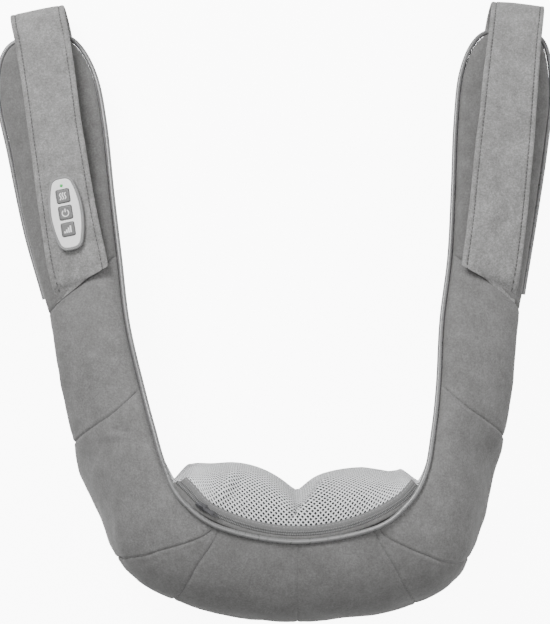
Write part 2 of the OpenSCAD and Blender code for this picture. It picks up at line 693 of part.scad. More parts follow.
module control_board() color(board_green)
    on_strap() {
        translate([0, 0, -3]) linear_extrude(1.6) fascia_outline(-4.8);
        for (y = button_places) translate([-3, y - 3, -1.4]) cube([6, 6, 1.2]);
        for (y = button_places) translate([0, y, -0.2]) cylinder(r = 1.7, h = 0.7);
    }

// Cable from the gearbox through the left arm to the controls
function core_point(s) = to_side(LEFT, arc_point(left_stations, s, 0.5, 0, station(left_stations, s)[6] * 0.3));
cable_path = concat([[-86.4, -8, cable_z], [-98, -8, cable_z], [-114, 2, 88]],
    [for (s = [2.5:0.5:6.5]) core_point(s)], [core_point(6.9) + [0, 0, 3], [-201, 272, 84.5], cable_end]);
module cable_run(r) tube(cable_path, r, 8);
module control_cable() color(black_plastic) cable_run(cable_r);

back_panel_left();
back_panel_right();
gusset_left();
gusset_right();
corner_panel_left();
corner_panel_right();
arm_panel_left();
arm_panel_right();
pad_panel_left();
pad_panel_right();
arm_lining_left();
arm_lining_right();
piping_left();
piping_right();
strap_left();
strap_right();
mesh_cover();
zipper_tape();
zipper_coil();
zipper_slider();
base_panel();
arm_foam_left();
arm_foam_right();
back_foam();
rear_housing();
front_housing();
housing_screws();
motor_can();
motor_end_cap();
motor_clamp();
motor_shaft();
motor_rotor();
worm();
worm_bush();
left_worm_wheel();
left_output_shaft();
left_carrier();
left_carrier_screw();
left_large_nodes();
left_small_nodes();
right_worm_wheel();
right_output_shaft();
right_carrier();
right_carrier_screw();
right_large_nodes();
right_small_nodes();
shaft_bushes();
heat_lamps();
main_board();
dc_jack();
jack_nut();
control_bezel();
control_fascia();
button_heat();
button_power();
button_speed();
led_lens();
control_board();
control_case();
control_cable();
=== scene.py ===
"""Shiatsu neck massager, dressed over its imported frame.

A padded U-shaped collar of grey suede panels with piped edges, a knitted mesh front over the
kneading heads, a zipper, two hand straps and a small control plate on the left strap.
"""
import logging
import math
from dataclasses import dataclass, field
from enum import Enum
from typing import Iterable, Optional, Sequence

import bmesh
import bpy
import numpy as np
from mathutils import Euler, Matrix, Vector


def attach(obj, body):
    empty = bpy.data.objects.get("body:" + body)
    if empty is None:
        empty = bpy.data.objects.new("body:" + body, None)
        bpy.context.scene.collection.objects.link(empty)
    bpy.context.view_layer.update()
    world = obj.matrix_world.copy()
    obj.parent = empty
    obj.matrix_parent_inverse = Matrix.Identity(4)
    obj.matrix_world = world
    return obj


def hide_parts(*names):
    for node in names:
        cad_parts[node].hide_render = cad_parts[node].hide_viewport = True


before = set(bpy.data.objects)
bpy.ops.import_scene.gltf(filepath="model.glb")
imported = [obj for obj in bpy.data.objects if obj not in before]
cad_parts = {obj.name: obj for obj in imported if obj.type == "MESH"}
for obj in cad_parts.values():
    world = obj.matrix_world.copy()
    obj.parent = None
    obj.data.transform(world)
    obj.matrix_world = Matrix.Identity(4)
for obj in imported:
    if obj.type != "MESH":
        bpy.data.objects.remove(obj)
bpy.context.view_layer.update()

LOG = logging.getLogger("massager")
MM = 0.001
COLLAR = "collar"
FULLNESS = 2.4
BASE_TOP = 2.0

Point = tuple[float, float, float]
Socket = bpy.types.NodeSocket


class Half(Enum):
    """Which half of the collar a piece belongs to."""

    LEFT = -1
    RIGHT = 1

    @property
    def word(self) -> str:
        """The half's name as piece names spell it."""
        return self.name.lower()


# ---------------------------------------------------------------- finishes


def tone(level: float, warmth: float = 0.0) -> tuple[float, float, float, float]:
    """Turn a display grey from 0 to 255 into a linear colour.

    Args:
        level: The grey as it shows on a display.
        warmth: How far red is lifted and blue lowered, in display steps.

    Returns:
        A linear RGBA colour.
    """
    shown = [max(level + warmth * step, 0.0) / 255 for step in (1, 0.25, -1)]
    linear = [c / 12.92 if c < 0.04045 else ((c + 0.055) / 1.055) ** 2.4 for c in shown]
    return (linear[0], linear[1], linear[2], 1.0)


class Recipe:
    """One material's node tree, built up a node at a time."""

    def __init__(self, name: str) -> None:
        """Start a material with a lone Principled shader."""
        self.material = bpy.data.materials.new(name)
        self.material.use_nodes = True
        self.tree = self.material.node_tree
        self.shader = next(n for n in self.tree.nodes if n.type == "BSDF_PRINCIPLED")
        self.place = self.tree.nodes.new("ShaderNodeTexCoord").outputs["Object"]

    def feed(self, socket: Socket, value: object) -> None:
        """Set a socket to a constant, or link another socket to it."""
        if isinstance(value, bpy.types.NodeSocket):
            self.tree.links.new(value, socket)
        else:
            socket.default_value = value

    def set(self, **sockets: object) -> None:
        """Set the shader's sockets, named in lower case with underscores."""
        for name, value in sockets.items():
            self.feed(self.shader.inputs[name.replace("_", " ").title().replace("Ior", "IOR")], value)

    def stretched(self, scale: Point, turn: Point = (0.0, 0.0, 0.0)) -> Socket:
        """Object coordinates scaled and turned, for grain that runs one way."""
        node = self.tree.nodes.new("ShaderNodeMapping")
        node.inputs["Scale"].default_value = scale
        node.inputs["Rotation"].default_value = turn
        self.tree.links.new(self.place, node.inputs["Vector"])
        return node.outputs["Vector"]

    def noise(self, scale: float, detail: float = 3.0, rough: float = 0.55,
              at: Optional[Socket] = None) -> Socket:
        """Cloudy noise.

        Args:
            scale: Cells to the metre.
            detail: Octaves.
            rough: Strength of the finer octaves.
            at: Coordinates, or the object's own.

        Returns:
            The noise value, from 0 to 1.
        """
        node = self.tree.nodes.new("ShaderNodeTexNoise")
        node.inputs["Scale"].default_value = scale
        node.inputs["Detail"].default_value = detail
        node.inputs["Roughness"].default_value = rough
        self.tree.links.new(at or self.place, node.inputs["Vector"])
        return node.outputs["Fac"]

    def cells(self, scale: float, at: Optional[Socket] = None) -> Socket:
        """Distance to the nearest of many scattered points."""
        node = self.tree.nodes.new("ShaderNodeTexVoronoi")
        node.inputs["Scale"].default_value = scale
        self.tree.links.new(at or self.place, node.inputs["Vector"])
        return node.outputs["Distance"]

    def bands(self, scale: float, direction: str = "X", at: Optional[Socket] = None,
              distortion: float = 0.0) -> Socket:
        """Parallel bands, scale of them to about six metres."""
        node = self.tree.nodes.new("ShaderNodeTexWave")
        node.bands_direction = direction
        node.inputs["Scale"].default_value = scale
        node.inputs["Distortion"].default_value = distortion
        self.tree.links.new(at or self.place, node.inputs["Vector"])
        return node.outputs["Fac"]

    def sum(self, first: object, second: object, share: float = 0.5) -> Socket:
        """Blend two values, share being how much of the second is taken."""
        node = self.tree.nodes.new("ShaderNodeMix")
        node.inputs["Factor"].default_value = share
        self.feed(node.inputs["A"], first)
        self.feed(node.inputs["B"], second)
        return node.outputs["Result"]

    def maths(self, operation: str, first: object, second: object) -> Socket:
        """One Math node on two values."""
        node = self.tree.nodes.new("ShaderNodeMath")
        node.operation = operation
        self.feed(node.inputs[0], first)
        self.feed(node.inputs[1], second)
        return node.outputs[0]

    def spread(self, value: Socket, low: float, high: float, start: float = 0.3,
               end: float = 0.7) -> Socket:
        """Map a value from start..end on to low..high."""
        node = self.tree.nodes.new("ShaderNodeMapRange")
        for name, number in (("From Min", start), ("From Max", end), ("To Min", low), ("To Max", high)):
            node.inputs[name].default_value = number
        self.tree.links.new(value, node.inputs["Value"])
        return node.outputs["Result"]

    def shades(self, value: Socket, *stops: tuple[float, Sequence[float]]) -> Socket:
        """Colour a value through two or more stops of (position, colour)."""
        node = self.tree.nodes.new("ShaderNodeValToRGB")
        ramp = node.color_ramp
        while len(ramp.elements) < len(stops):
            ramp.elements.new(0.5)
        for element, (at, colour) in zip(ramp.elements, stops):
            element.position = at
            element.color = colour
        self.tree.links.new(value, node.inputs["Fac"])
        return node.outputs["Color"]

    def relief(self, *layers: tuple[Socket, float, float]) -> None:
        """Stack bumps of (height, strength, distance in metres) on the shader."""
        normal: Optional[Socket] = None
        for height, strength, distance in layers:
            node = self.tree.nodes.new("ShaderNodeBump")
            node.inputs["Strength"].default_value = strength
            node.inputs["Distance"].default_value = distance
            self.tree.links.new(height, node.inputs["Height"])
            if normal is not None:
                self.tree.links.new(normal, node.inputs["Normal"])
            normal = node.outputs["Normal"]
        self.tree.links.new(normal, self.shader.inputs["Normal"])


class Finish:
    """A finish that is mixed once, however many pieces wear it."""

    _mixed: dict[str, bpy.types.Material] = {}
    name: str
    slot: str

    def material(self) -> bpy.types.Material:
        """The finish's material, made the first time it is asked for."""
        if self.name not in Finish._mixed:
            recipe = Recipe(self.name)
            self.mix(recipe)
            Finish._mixed[self.name] = recipe.material
        return Finish._mixed[self.name]

    def mix(self, recipe: Recipe) -> None:
        """Build the node tree; each finish has its own."""
        raise NotImplementedError


@dataclass(frozen=True)
class Suede(Finish):
    """Brushed knit suede: a short nap that mottles and catches light at the edges."""

    name: str
    slot: str
    level: float
    contrast: float = 9.0
    grain: float = 0.5
    nap_turn: Point = (0.0, 0.0, 0.35)

    def mix(self, recipe: Recipe) -> None:
        """Mottled grey with fine fibres, brushed streaks and a soft sheen."""
        fibres = recipe.noise(1300.0, 4.0, 0.75)
        flecks = recipe.noise(560.0, 3.0, 0.7)
        patches = recipe.noise(55.0, 5.0, 0.66)
        streaks = recipe.noise(170.0, 3.0, 0.6, recipe.stretched((1.6, 0.8, 1.0), self.nap_turn))
        nap = recipe.sum(recipe.sum(patches, streaks, 0.3), recipe.sum(fibres, flecks, 0.6), 0.62)
        dark, light = self.level - 3.4 * self.contrast, self.level + 3.2 * self.contrast
        recipe.set(base_color=recipe.shades(nap, (0.3, tone(dark, 1)), (0.5, tone(self.level, 0.6)),
                                            (0.7, tone(light, 0.3))))
        recipe.set(roughness=recipe.spread(patches, 0.82, 0.95), specular_ior_level=0.25,
                   sheen_weight=0.32, sheen_roughness=0.45, sheen_tint=tone(225))
        recipe.relief((patches, 0.22, 0.0012), (recipe.sum(flecks, fibres, 0.5), self.grain, 0.0007))


@dataclass(frozen=True)
class Satin(Finish):
    """Satin bias tape over cord, with a fine diagonal rib."""

    name: str
    slot: str
    level: float

    def mix(self, recipe: Recipe) -> None:
        """Slightly shiny grey with a twill rib."""
        rib = recipe.bands(520.0, "DIAGONAL", distortion=0.6)
        cloud = recipe.noise(240.0, 3.0)
        recipe.set(base_color=recipe.shades(recipe.sum(rib, cloud, 0.5), (0.2, tone(self.level - 16)),
                                            (0.8, tone(self.level + 12))))
        recipe.set(roughness=recipe.spread(cloud, 0.24, 0.38), specular_ior_level=0.8,
                   sheen_weight=0.1, sheen_roughness=0.3)
        recipe.relief((rib, 0.2, 0.00008), (cloud, 0.2, 0.0004))


@dataclass(frozen=True)
class Knit(Finish):
    """Spacer-knit yarn, or the painted shade on the floors of its holes."""

    name: str
    slot: str
    level: float
    contrast: float = 14.0
    loops: float = 900.0

    def mix(self, recipe: Recipe) -> None:
        """Fine looped yarn with a dry, even surface."""
        yarn = recipe.cells(self.loops)
        fluff = recipe.noise(1400.0, 3.0, 0.6)
        wear = recipe.noise(60.0, 3.0)
        blend = recipe.sum(recipe.sum(yarn, fluff, 0.5), wear, 0.3)
        recipe.set(base_color=recipe.shades(blend, (0.25, tone(self.level - self.contrast, -1)),
                                            (0.65, tone(self.level + self.contrast * 0.7, -1))))
        recipe.set(roughness=recipe.spread(fluff, 0.72, 0.9), specular_ior_level=0.3,
                   sheen_weight=0.2, sheen_roughness=0.5)
        recipe.relief((yarn, 0.5, 0.0003), (fluff, 0.3, 0.0002))


@dataclass(frozen=True)
class Woven(Finish):
    """Close woven tape or thread: warp and weft at right angles."""

    name: str
    slot: str
    level: float
    threads: float = 380.0

    def mix(self, recipe: Recipe) -> None:
        """Crossed fine ribs with a faint cloudiness."""
        weave = recipe.maths("MULTIPLY", recipe.bands(self.threads, "X"), recipe.bands(self.threads, "Y"))
        cloud = recipe.noise(300.0, 3.0)
        recipe.set(base_color=recipe.shades(recipe.sum(weave, cloud, 0.6), (0.15, tone(self.level - 14)),
                                            (0.75, tone(self.level + 12))))
        recipe.set(roughness=recipe.spread(cloud, 0.6, 0.8), specular_ior_level=0.35,
                   sheen_weight=0.15, sheen_roughness=0.5)
        recipe.relief((weave, 0.5, 0.0002), (cloud, 0.2, 0.0002))


@dataclass(frozen=True)
class Moulded(Finish):
    """Injection-moulded plastic or rubber with a fine spark texture."""

    name: str
    slot: str
    level: float
    gloss: float = 0.45
    warmth: float = 0.0
    texture: float = 0.2
    colour: Optional[Point] = None

    def mix(self, recipe: Recipe) -> None:
        """Even colour with faint flow marks and a textured skin."""
        skin = recipe.noise(2200.0, 2.0)
        flow = recipe.noise(45.0, 3.0)
        handling = recipe.noise(130.0, 4.0, 0.65)
        if self.colour:
            low, high = [tuple(c * k for c in self.colour) + (1.0,) for k in (0.86, 1.08)]
        else:
            low, high = tone(self.level - 5, self.warmth), tone(self.level + 4, self.warmth)
        recipe.set(base_color=recipe.shades(recipe.sum(flow, skin, 0.3), (0.3, low), (0.7, high)))
        recipe.set(roughness=recipe.spread(handling, self.gloss - 0.06, self.gloss + 0.1),
                   specular_ior_level=0.5)
        recipe.relief((skin, self.texture, 0.00008), (flow, 0.05, 0.0006))


@dataclass(frozen=True)
class Metal(Finish):
    """Turned, drawn or plated metal with fine directional marks."""

    name: str
    slot: str
    colour: Point
    gloss: float = 0.3
    stretch: Point = (1.0, 1.0, 14.0)

    def mix(self, recipe: Recipe) -> None:
        """Metal with tool marks across it and slight tarnish."""
        marks = recipe.noise(260.0, 3.0, 0.6, recipe.stretched(self.stretch))
        tarnish = recipe.noise(90.0, 4.0)
        low, high = [tuple(c * k for c in self.colour) + (1.0,) for k in (0.78, 1.04)]
        recipe.set(base_color=recipe.shades(tarnish, (0.25, low), (0.7, high)), metallic=1.0,
                   roughness=recipe.spread(marks, self.gloss - 0.07, self.gloss + 0.12))
        recipe.relief((marks, 0.12, 0.00012),)


@dataclass(frozen=True)
class OpenFoam(Finish):
    """Cut polyurethane foam with open cells."""

    name: str
    slot: str
    colour: Point

    def mix(self, recipe: Recipe) -> None:
        """Porous, slightly uneven cream."""
        pores, ageing = recipe.cells(700.0), recipe.noise(35.0, 3.0)
        low, high = [tuple(c * k for c in self.colour) + (1.0,) for k in (0.72, 1.03)]
        recipe.set(base_color=recipe.shades(recipe.sum(pores, ageing, 0.5), (0.2, low), (0.6, high)),
                   roughness=recipe.spread(ageing, 0.88, 0.98), specular_ior_level=0.2)
        recipe.relief((pores, 0.6, 0.0006),)


@dataclass(frozen=True)
class Board(Finish):
    """Solder-masked circuit board with tracks under the mask."""

    name: str
    slot: str

    def mix(self, recipe: Recipe) -> None:
        """Green mask with lighter track bands."""
        tracks = recipe.maths("MULTIPLY", recipe.bands(70.0, "X"), recipe.bands(45.0, "Z"))
        cloud = recipe.noise(200.0, 3.0)
        recipe.set(base_color=recipe.shades(recipe.sum(tracks, cloud, 0.3), (0.2, (0.01, 0.09, 0.035, 1)),
                                            (0.7, (0.03, 0.2, 0.08, 1))))
        recipe.set(roughness=recipe.spread(cloud, 0.26, 0.4), coat_weight=0.3, coat_roughness=0.2)
        recipe.relief((tracks, 0.3, 0.0001),)


@dataclass(frozen=True)
class Lens(Finish):
    """Tinted clear plastic over a small lamp."""

    name: str
    slot: str
    colour: Point
    glow: float = 0.0

    def mix(self, recipe: Recipe) -> None:
        """Tinted lens with a soft core glow."""
        core = recipe.noise(900.0, 2.0)
        low, high = [tuple(c * k for c in self.colour) + (1.0,) for k in (0.8, 1.1)]
        recipe.set(base_color=recipe.shades(core, (0.3, low), (0.7, high)),
                   roughness=recipe.spread(core, 0.12, 0.24), transmission_weight=0.25, coat_weight=0.5)
        if self.glow:
            recipe.set(emission_color=self.colour + (1.0,), emission_strength=self.glow)
        recipe.relief((core, 0.05, 0.0001),)


SUEDE = Suede("suede", "suede", 109)
# Strap suede: its lighter tone is partly painted light, for the flat straps facing the lamps, and partly its own
# tint.
SUEDE_STRAP_TINT_AND_LIGHT = Suede("suede_strap_tint_and_light", "suede", 125, 15.0, nap_turn=(0.0, 0.0, -0.2))
# Darker suede for the pads and base: its tone is partly painted shade, as beside the straps and under the band, and
# partly its own tint.
SUEDE_DARK_TINT_AND_SHADE = Suede("suede_dark", "suede_dark", 102, 8.0)
# Band suede: its darker tone is partly painted shade, for the band turning away from the lamps, and partly its own
# tint.
SUEDE_BAND_TINT_AND_SHADE = Suede("suede_band_tint_and_shade", "suede_dark", 103, 8.0, nap_turn=(0.0, 0.0, 1.4))
PIPING = Satin("satin_piping", "satin_piping", 112)
MESH_YARN = Knit("mesh_yarn", "air_mesh", 224)
# Hole floors: a near-black knit that is painted shade, for the dark inside of each hole.
MESH_HOLE_PAINTED_SHADE = Knit("mesh_hole_painted_shade", "air_mesh", 42, 8.0)
ZIP_TAPE = Woven("zip_tape", "zip_tape", 116)
ZIP_COIL = Moulded("zip_coil", "zip_coil", 122, 0.4)
THREAD = Woven("sewing_thread", "suede_dark", 66, 900.0)
THREAD_LIGHT = Woven("tape_thread", "zip_tape", 150, 900.0)
NICKEL = Metal("zip_nickel", "zip_metal", (0.1, 0.1, 0.105), 0.46)
STEEL = Metal("drawn_steel", "steel", (0.6, 0.6, 0.62), 0.3)
COPPER = Metal("rotor_copper", "rotor_copper", (0.72, 0.36, 0.2), 0.34)
BRASS = Metal("bush_brass", "bush_brass", (0.74, 0.55, 0.26), 0.32)
HOUSING = Moulded("housing_plastic", "housing_plastic", 42, 0.5, texture=0.4)
GEAR = Moulded("gear_plastic", "gear_plastic", 214, 0.38, 6.0)
NODE_RUBBER = Moulded("node_rubber", "node_rubber", 92, 0.55, texture=0.5)
JACK = Moulded("jack_black", "jack_black", 36, 0.32)
CABLE = Moulded("cable_black", "cable_black", 38, 0.5)
FASCIA = Moulded("fascia_white", "fascia_white", 238, 0.3, 0.4, 0.08)
BEZEL = Moulded("bezel_grey", "bezel_grey", 128, 0.42)
BUTTON = Moulded("button_grey", "button_grey", 100, 0.42)
ICON = Moulded("icon_white", "fascia_white", 232, 0.4)
FOAM = OpenFoam("cut_foam", "foam", (0.8, 0.75, 0.6))
CIRCUIT = Board("circuit_board", "board_green")
LED = Lens("led_green", "led_green", (0.03, 0.4, 0.08), 0.5)
LAMP = Lens("lamp_red", "lamp_red", (0.5, 0.04, 0.03), 0.15)


# ---------------------------------------------------------------- shared making


def unit(v: np.ndarray) -> np.ndarray:
    """Scale the last axis of an array to length one."""
    return v / np.linalg.norm(v, axis=-1, keepdims=True)


def smooth4(a: np.ndarray, b: np.ndarray, c: np.ndarray, d: np.ndarray, f: np.ndarray) -> np.ndarray:
    """Smooth curve through four rows, a share f of the way from b to c."""
    f = f[..., None]
    return 0.5 * (2 * b + (c - a) * f + (2 * a - 5 * b + 4 * c - d) * f**2 + (3 * b - a - 3 * c + d) * f**3)


def eased(share: np.ndarray) -> np.ndarray:
    """A share of the way, held between 0 and 1 and eased at both ends."""
    share = np.clip(share, 0, 1)
    return share * share * (3 - 2 * share)


def along_rows(rows: np.ndarray, before: np.ndarray, s: np.ndarray) -> np.ndarray:
    """Read a table of rows at fractional positions.

    Args:
        rows: One row to each whole position.
        before: The row that stands before the first.
        s: Positions, of any shape.

    Returns:
        The smoothed rows, with the shape of s and the row's columns after it.
    """
    table = np.vstack([before, rows, rows[-1]])
    i = np.minimum(np.floor(s).astype(int), len(rows) - 2)
    return smooth4(table[i], table[i + 1], table[i + 2], table[i + 3], s - i)


def sheet_grid(points: np.ndarray, around: bool = False, flip: bool = False) -> bmesh.types.BMesh:
    """Lay a grid of quads on an array of points.

    Args:
        points: Places in millimetres, rows by columns by three.
        around: Whether the last column joins the first, as round a tube.
        flip: Whether the faces are turned over.

    Returns:
        A bmesh in metres.
    """
    if around:
        points = np.concatenate([points, points[:, :1]], axis=1)
    rows, columns = points.shape[:2]
    bm = bmesh.new()
    bmesh.ops.create_grid(bm, x_segments=rows - 1, y_segments=columns - 1, size=0.5)
    for v in bm.verts:
        i, j = round((v.co.x + 0.5) * (rows - 1)), round((v.co.y + 0.5) * (columns - 1))
        v.co = points[i, j] * MM
    if around:
        bmesh.ops.remove_doubles(bm, verts=bm.verts[:], dist=1e-6)
    if flip:
        bmesh.ops.reverse_faces(bm, faces=bm.faces[:])
    return bm


def capped(bm: bmesh.types.BMesh) -> bmesh.types.BMesh:
    """Close the open ends of a tube and turn its faces outwards."""
    rims = [e for e in bm.edges if e.is_boundary]
    bmesh.ops.holes_fill(bm, edges=rims, sides=0)
    bmesh.ops.recalc_face_normals(bm, faces=bm.faces[:])
    return bm


def piece(name: str, bm: bmesh.types.BMesh, finishes: Sequence[Finish], body: str = COLLAR,
          nodes: Iterable[str] = (), sharp: float = 40.0) -> bpy.types.Object:
    """Turn a bmesh into a named piece that wears its finish and rides on its body.

    Args:
        name: The piece's name.
        bm: Its shape in metres, used up here.
        finishes: One finish to each material index.
        body: The CAD body that it moves with.
        nodes: CAD nodes that it stands for.
        sharp: Edges turned more than this many degrees stay crisp.

    Returns:
        The new object.
    """
    mesh = bpy.data.meshes.new(name)
    bm.to_mesh(mesh)
    bm.free()
    mesh.polygons.foreach_set("use_smooth", [True] * len(mesh.polygons))
    mesh.set_sharp_from_angle(angle=math.radians(sharp))
    for finish in finishes:
        mesh.materials.append(finish.material())
    obj = bpy.data.objects.new(name, mesh)
    bpy.context.scene.collection.objects.link(obj)
    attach(obj, body)
    if nodes:
        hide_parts(*nodes)
    LOG.info("%s: %d faces on %s", name, len(mesh.polygons), body)
    return obj


def tube(path: np.ndarray, radius: float, sides: int = 14) -> bmesh.types.BMesh:
    """Round tube along a path of points in millimetres, with closed ends."""
    run = unit(np.gradient(path, axis=0))
    lean = np.where(np.abs(run[:, 2:3]) > 0.9, [1.0, 0.0, 0.0], [0.0, 0.0, 1.0])
    u = unit(np.cross(lean, run))
    v = np.cross(run, u)
    a = np.linspace(0, 2 * np.pi, sides, endpoint=False)[None, :, None]
    rings = path[:, None] + radius * (np.cos(a) * u[:, None] + np.sin(a) * v[:, None])
    return capped(sheet_grid(rings, around=True))


def resampled(path: np.ndarray, step: float) -> np.ndarray:
    """Points evenly spaced, about step apart, along a path."""
    length = np.concatenate([[0], np.cumsum(np.linalg.norm(np.diff(path, axis=0), axis=1))])
    at = np.linspace(0, length[-1], max(int(round(length[-1] / step)), 2) + 1)
    return np.stack([np.interp(at, length, path[:, k]) for k in range(3)], axis=1)


def ripple(points: np.ndarray, wavelength: float, seed: int) -> np.ndarray:
    """Smooth uneven field of about unit height, the same on every run.

    Args:
        points: Places in millimetres, with xyz on the last axis.
        wavelength: Typical distance from hump to hump.
        seed: Picks one field from many.

    Returns:
        Heights, in the shape of the points without their last axis.
    """
    draw = np.random.default_rng(seed)
    total = np.zeros(points.shape[:-1])
    for _ in range(7):
        way = unit(draw.normal(size=3)) * 2 * np.pi / (wavelength * draw.uniform(0.7, 1.5))
        total += np.sin(points @ way + draw.uniform(0, 2 * np.pi))
    return total / 2.6


# ---------------------------------------------------------------- the collar's form


@dataclass(frozen=True)
class Seam:
    """A sewn line across an arm: its station at arc positions from the inner to the outer edge."""

    places: tuple[tuple[float, float], ...]
    pull: float = 1.0

    def at(self, t: np.ndarray) -> np.ndarray:
        """Station of the seam at arc positions t, with its corners eased."""
        round_at, station = np.array(self.places).T
        near = [np.interp(np.clip(t + shift, 0, 1), round_at, station)
                for shift in (-0.04, -0.02, 0, 0.02, 0.04)]
        return sum(near) / len(near)


@dataclass(frozen=True)
class Crease:
    """A soft fold in plan, from one point to another; a negative depth stands proud."""

    start: tuple[float, float]
    end: tuple[float, float]
    width: float
    depth: float

    def sink(self, points: np.ndarray) -> np.ndarray:
        """How far each point on the upper side sinks, in millimetres."""
        a, b = np.array(self.start), np.array(self.end)
        run = b - a
        share = np.clip(((points[..., :2] - a) @ run) / (run @ run), 0, 1)
        away = np.linalg.norm(points[..., :2] - a - share[..., None] * run, axis=-1)
        return self.depth * np.exp(-((away / self.width) ** 2)) * (0.35 + 0.65 * np.sin(np.pi * share))


@dataclass
class ArmForm:
    """One half of the collar as a loft: from the middle of the band to the arm's tip."""

    half: Half
    rows: np.ndarray
    lining_sag: float = 9.0
    lining_gap: float = 0.4

    def station(self, s: np.ndarray) -> np.ndarray:
        """Inner edge, outer edge and bulge at stations s, mirrored before the middle."""
        mirror = np.array([-1, 1, 1, -1, 1, 1, 1])
        row = along_rows(self.rows, self.rows[1] * mirror, np.abs(s))
        return np.where(s[..., None] < 0, row * mirror, row)

    def outward(self, s: np.ndarray) -> np.ndarray:
        """Direction in which the cover bulges at stations s."""
        s = np.minimum(s, len(self.rows) - 1.1)
        a, b = self.station(s - 0.05), self.station(s + 0.05)
        run = unit(b[..., :3] + b[..., 3:6] - a[..., :3] - a[..., 3:6])
        row = self.station(s)
        return unit(np.cross(row[..., 3:6] - row[..., :3], run))

    def arc(self, s: np.ndarray, t: np.ndarray, rise: Optional[np.ndarray] = None) -> np.ndarray:
        """Points round the section.

        Args:
            s: Stations.
            t: Position from the inner edge, 0, to the outer edge, 1.
            rise: How far the section bulges, or None for the cover's own.

        Returns:
            Points in millimetres, on this half's side.
        """
        s, t = np.broadcast_arrays(s, t)
        row = self.station(s)
        a, b = row[..., :3], row[..., 3:6]
        rise = row[..., 6] if rise is None else rise
        cos, power = np.cos(np.pi * t), 2 / FULLNESS
        share = (1 - np.sign(cos) * np.abs(cos) ** power) / 2
        lift = rise * np.abs(np.sin(np.pi * t)) ** power
        p = a + (b - a) * share[..., None] + self.outward(s) * lift[..., None]
        p[..., 2] = np.maximum(p[..., 2], BASE_TOP)
        return p * np.array([self.half.value, 1, 1])

    def under(self, s: np.ndarray, t: np.ndarray) -> np.ndarray:
        """Points on the lining, which sags a little below the edges."""
        s, t = np.broadcast_arrays(s, t)
        drop = np.array([self.half.value, 1, 1]) * self.outward(s) * self.lining_gap
        return self.arc(s, t, -self.lining_sag * np.clip((12.05 - s) / 1.5, 0.0, 1.0)) - drop

    def edge(self, s: np.ndarray, outer: bool, off: float) -> np.ndarray:
        """Points beside an edge of the cover, off millimetres away from it."""
        pick = slice(3, 6) if outer else slice(0, 3)
        a, b = self.station(s - 0.06)[..., pick], self.station(np.minimum(s + 0.06, 12.0))[..., pick]
        run, up = unit(b - a), self.outward(np.minimum(s, 11.8))
        side = unit(np.cross(run, up) if outer else np.cross(up, run))
        return (self.station(s)[..., pick] + off * side) * np.array([self.half.value, 1, 1])


def even_spacing(path: np.ndarray, count: int, tight: float = 0.0) -> np.ndarray:
    """Parameters from 0 to 1 that are evenly spaced along a finely sampled path.

    Args:
        path: Points at even steps of the parameter.
        count: How many parameters are wanted.
        tight: From 0 to 1, how much they crowd towards both ends.

    Returns:
        The parameters.
    """
    length = np.concatenate([[0], np.cumsum(np.linalg.norm(np.diff(path, axis=0), axis=1))])
    x = np.linspace(0, 1, count)
    x = (1 - tight) * x + tight * (0.5 - 0.5 * np.cos(np.pi * x))
    return np.interp(x * length[-1], length, np.linspace(0, 1, len(path)))


def walked(points: np.ndarray, axis: int) -> np.ndarray:
    """Distance walked over a grid of points along one axis, starting at zero."""
    steps = np.linalg.norm(np.diff(points, axis=axis), axis=-1)
    start = np.zeros_like(np.take(steps, [0], axis=axis))
    return np.concatenate([start, np.cumsum(steps, axis=axis)], axis=axis)


def normals(points: np.ndarray) -> np.ndarray:
    """Unit normals of a grid of points, rows crossed with columns."""
    return unit(np.cross(np.gradient(points, axis=0), np.gradient(points, axis=1)) + 1e-9)


def dip(distance: np.ndarray, depth: float, width: float) -> np.ndarray:
    """A smooth dip that is deepest where the distance is zero."""
    return depth * np.exp(-((distance / width) ** 2))


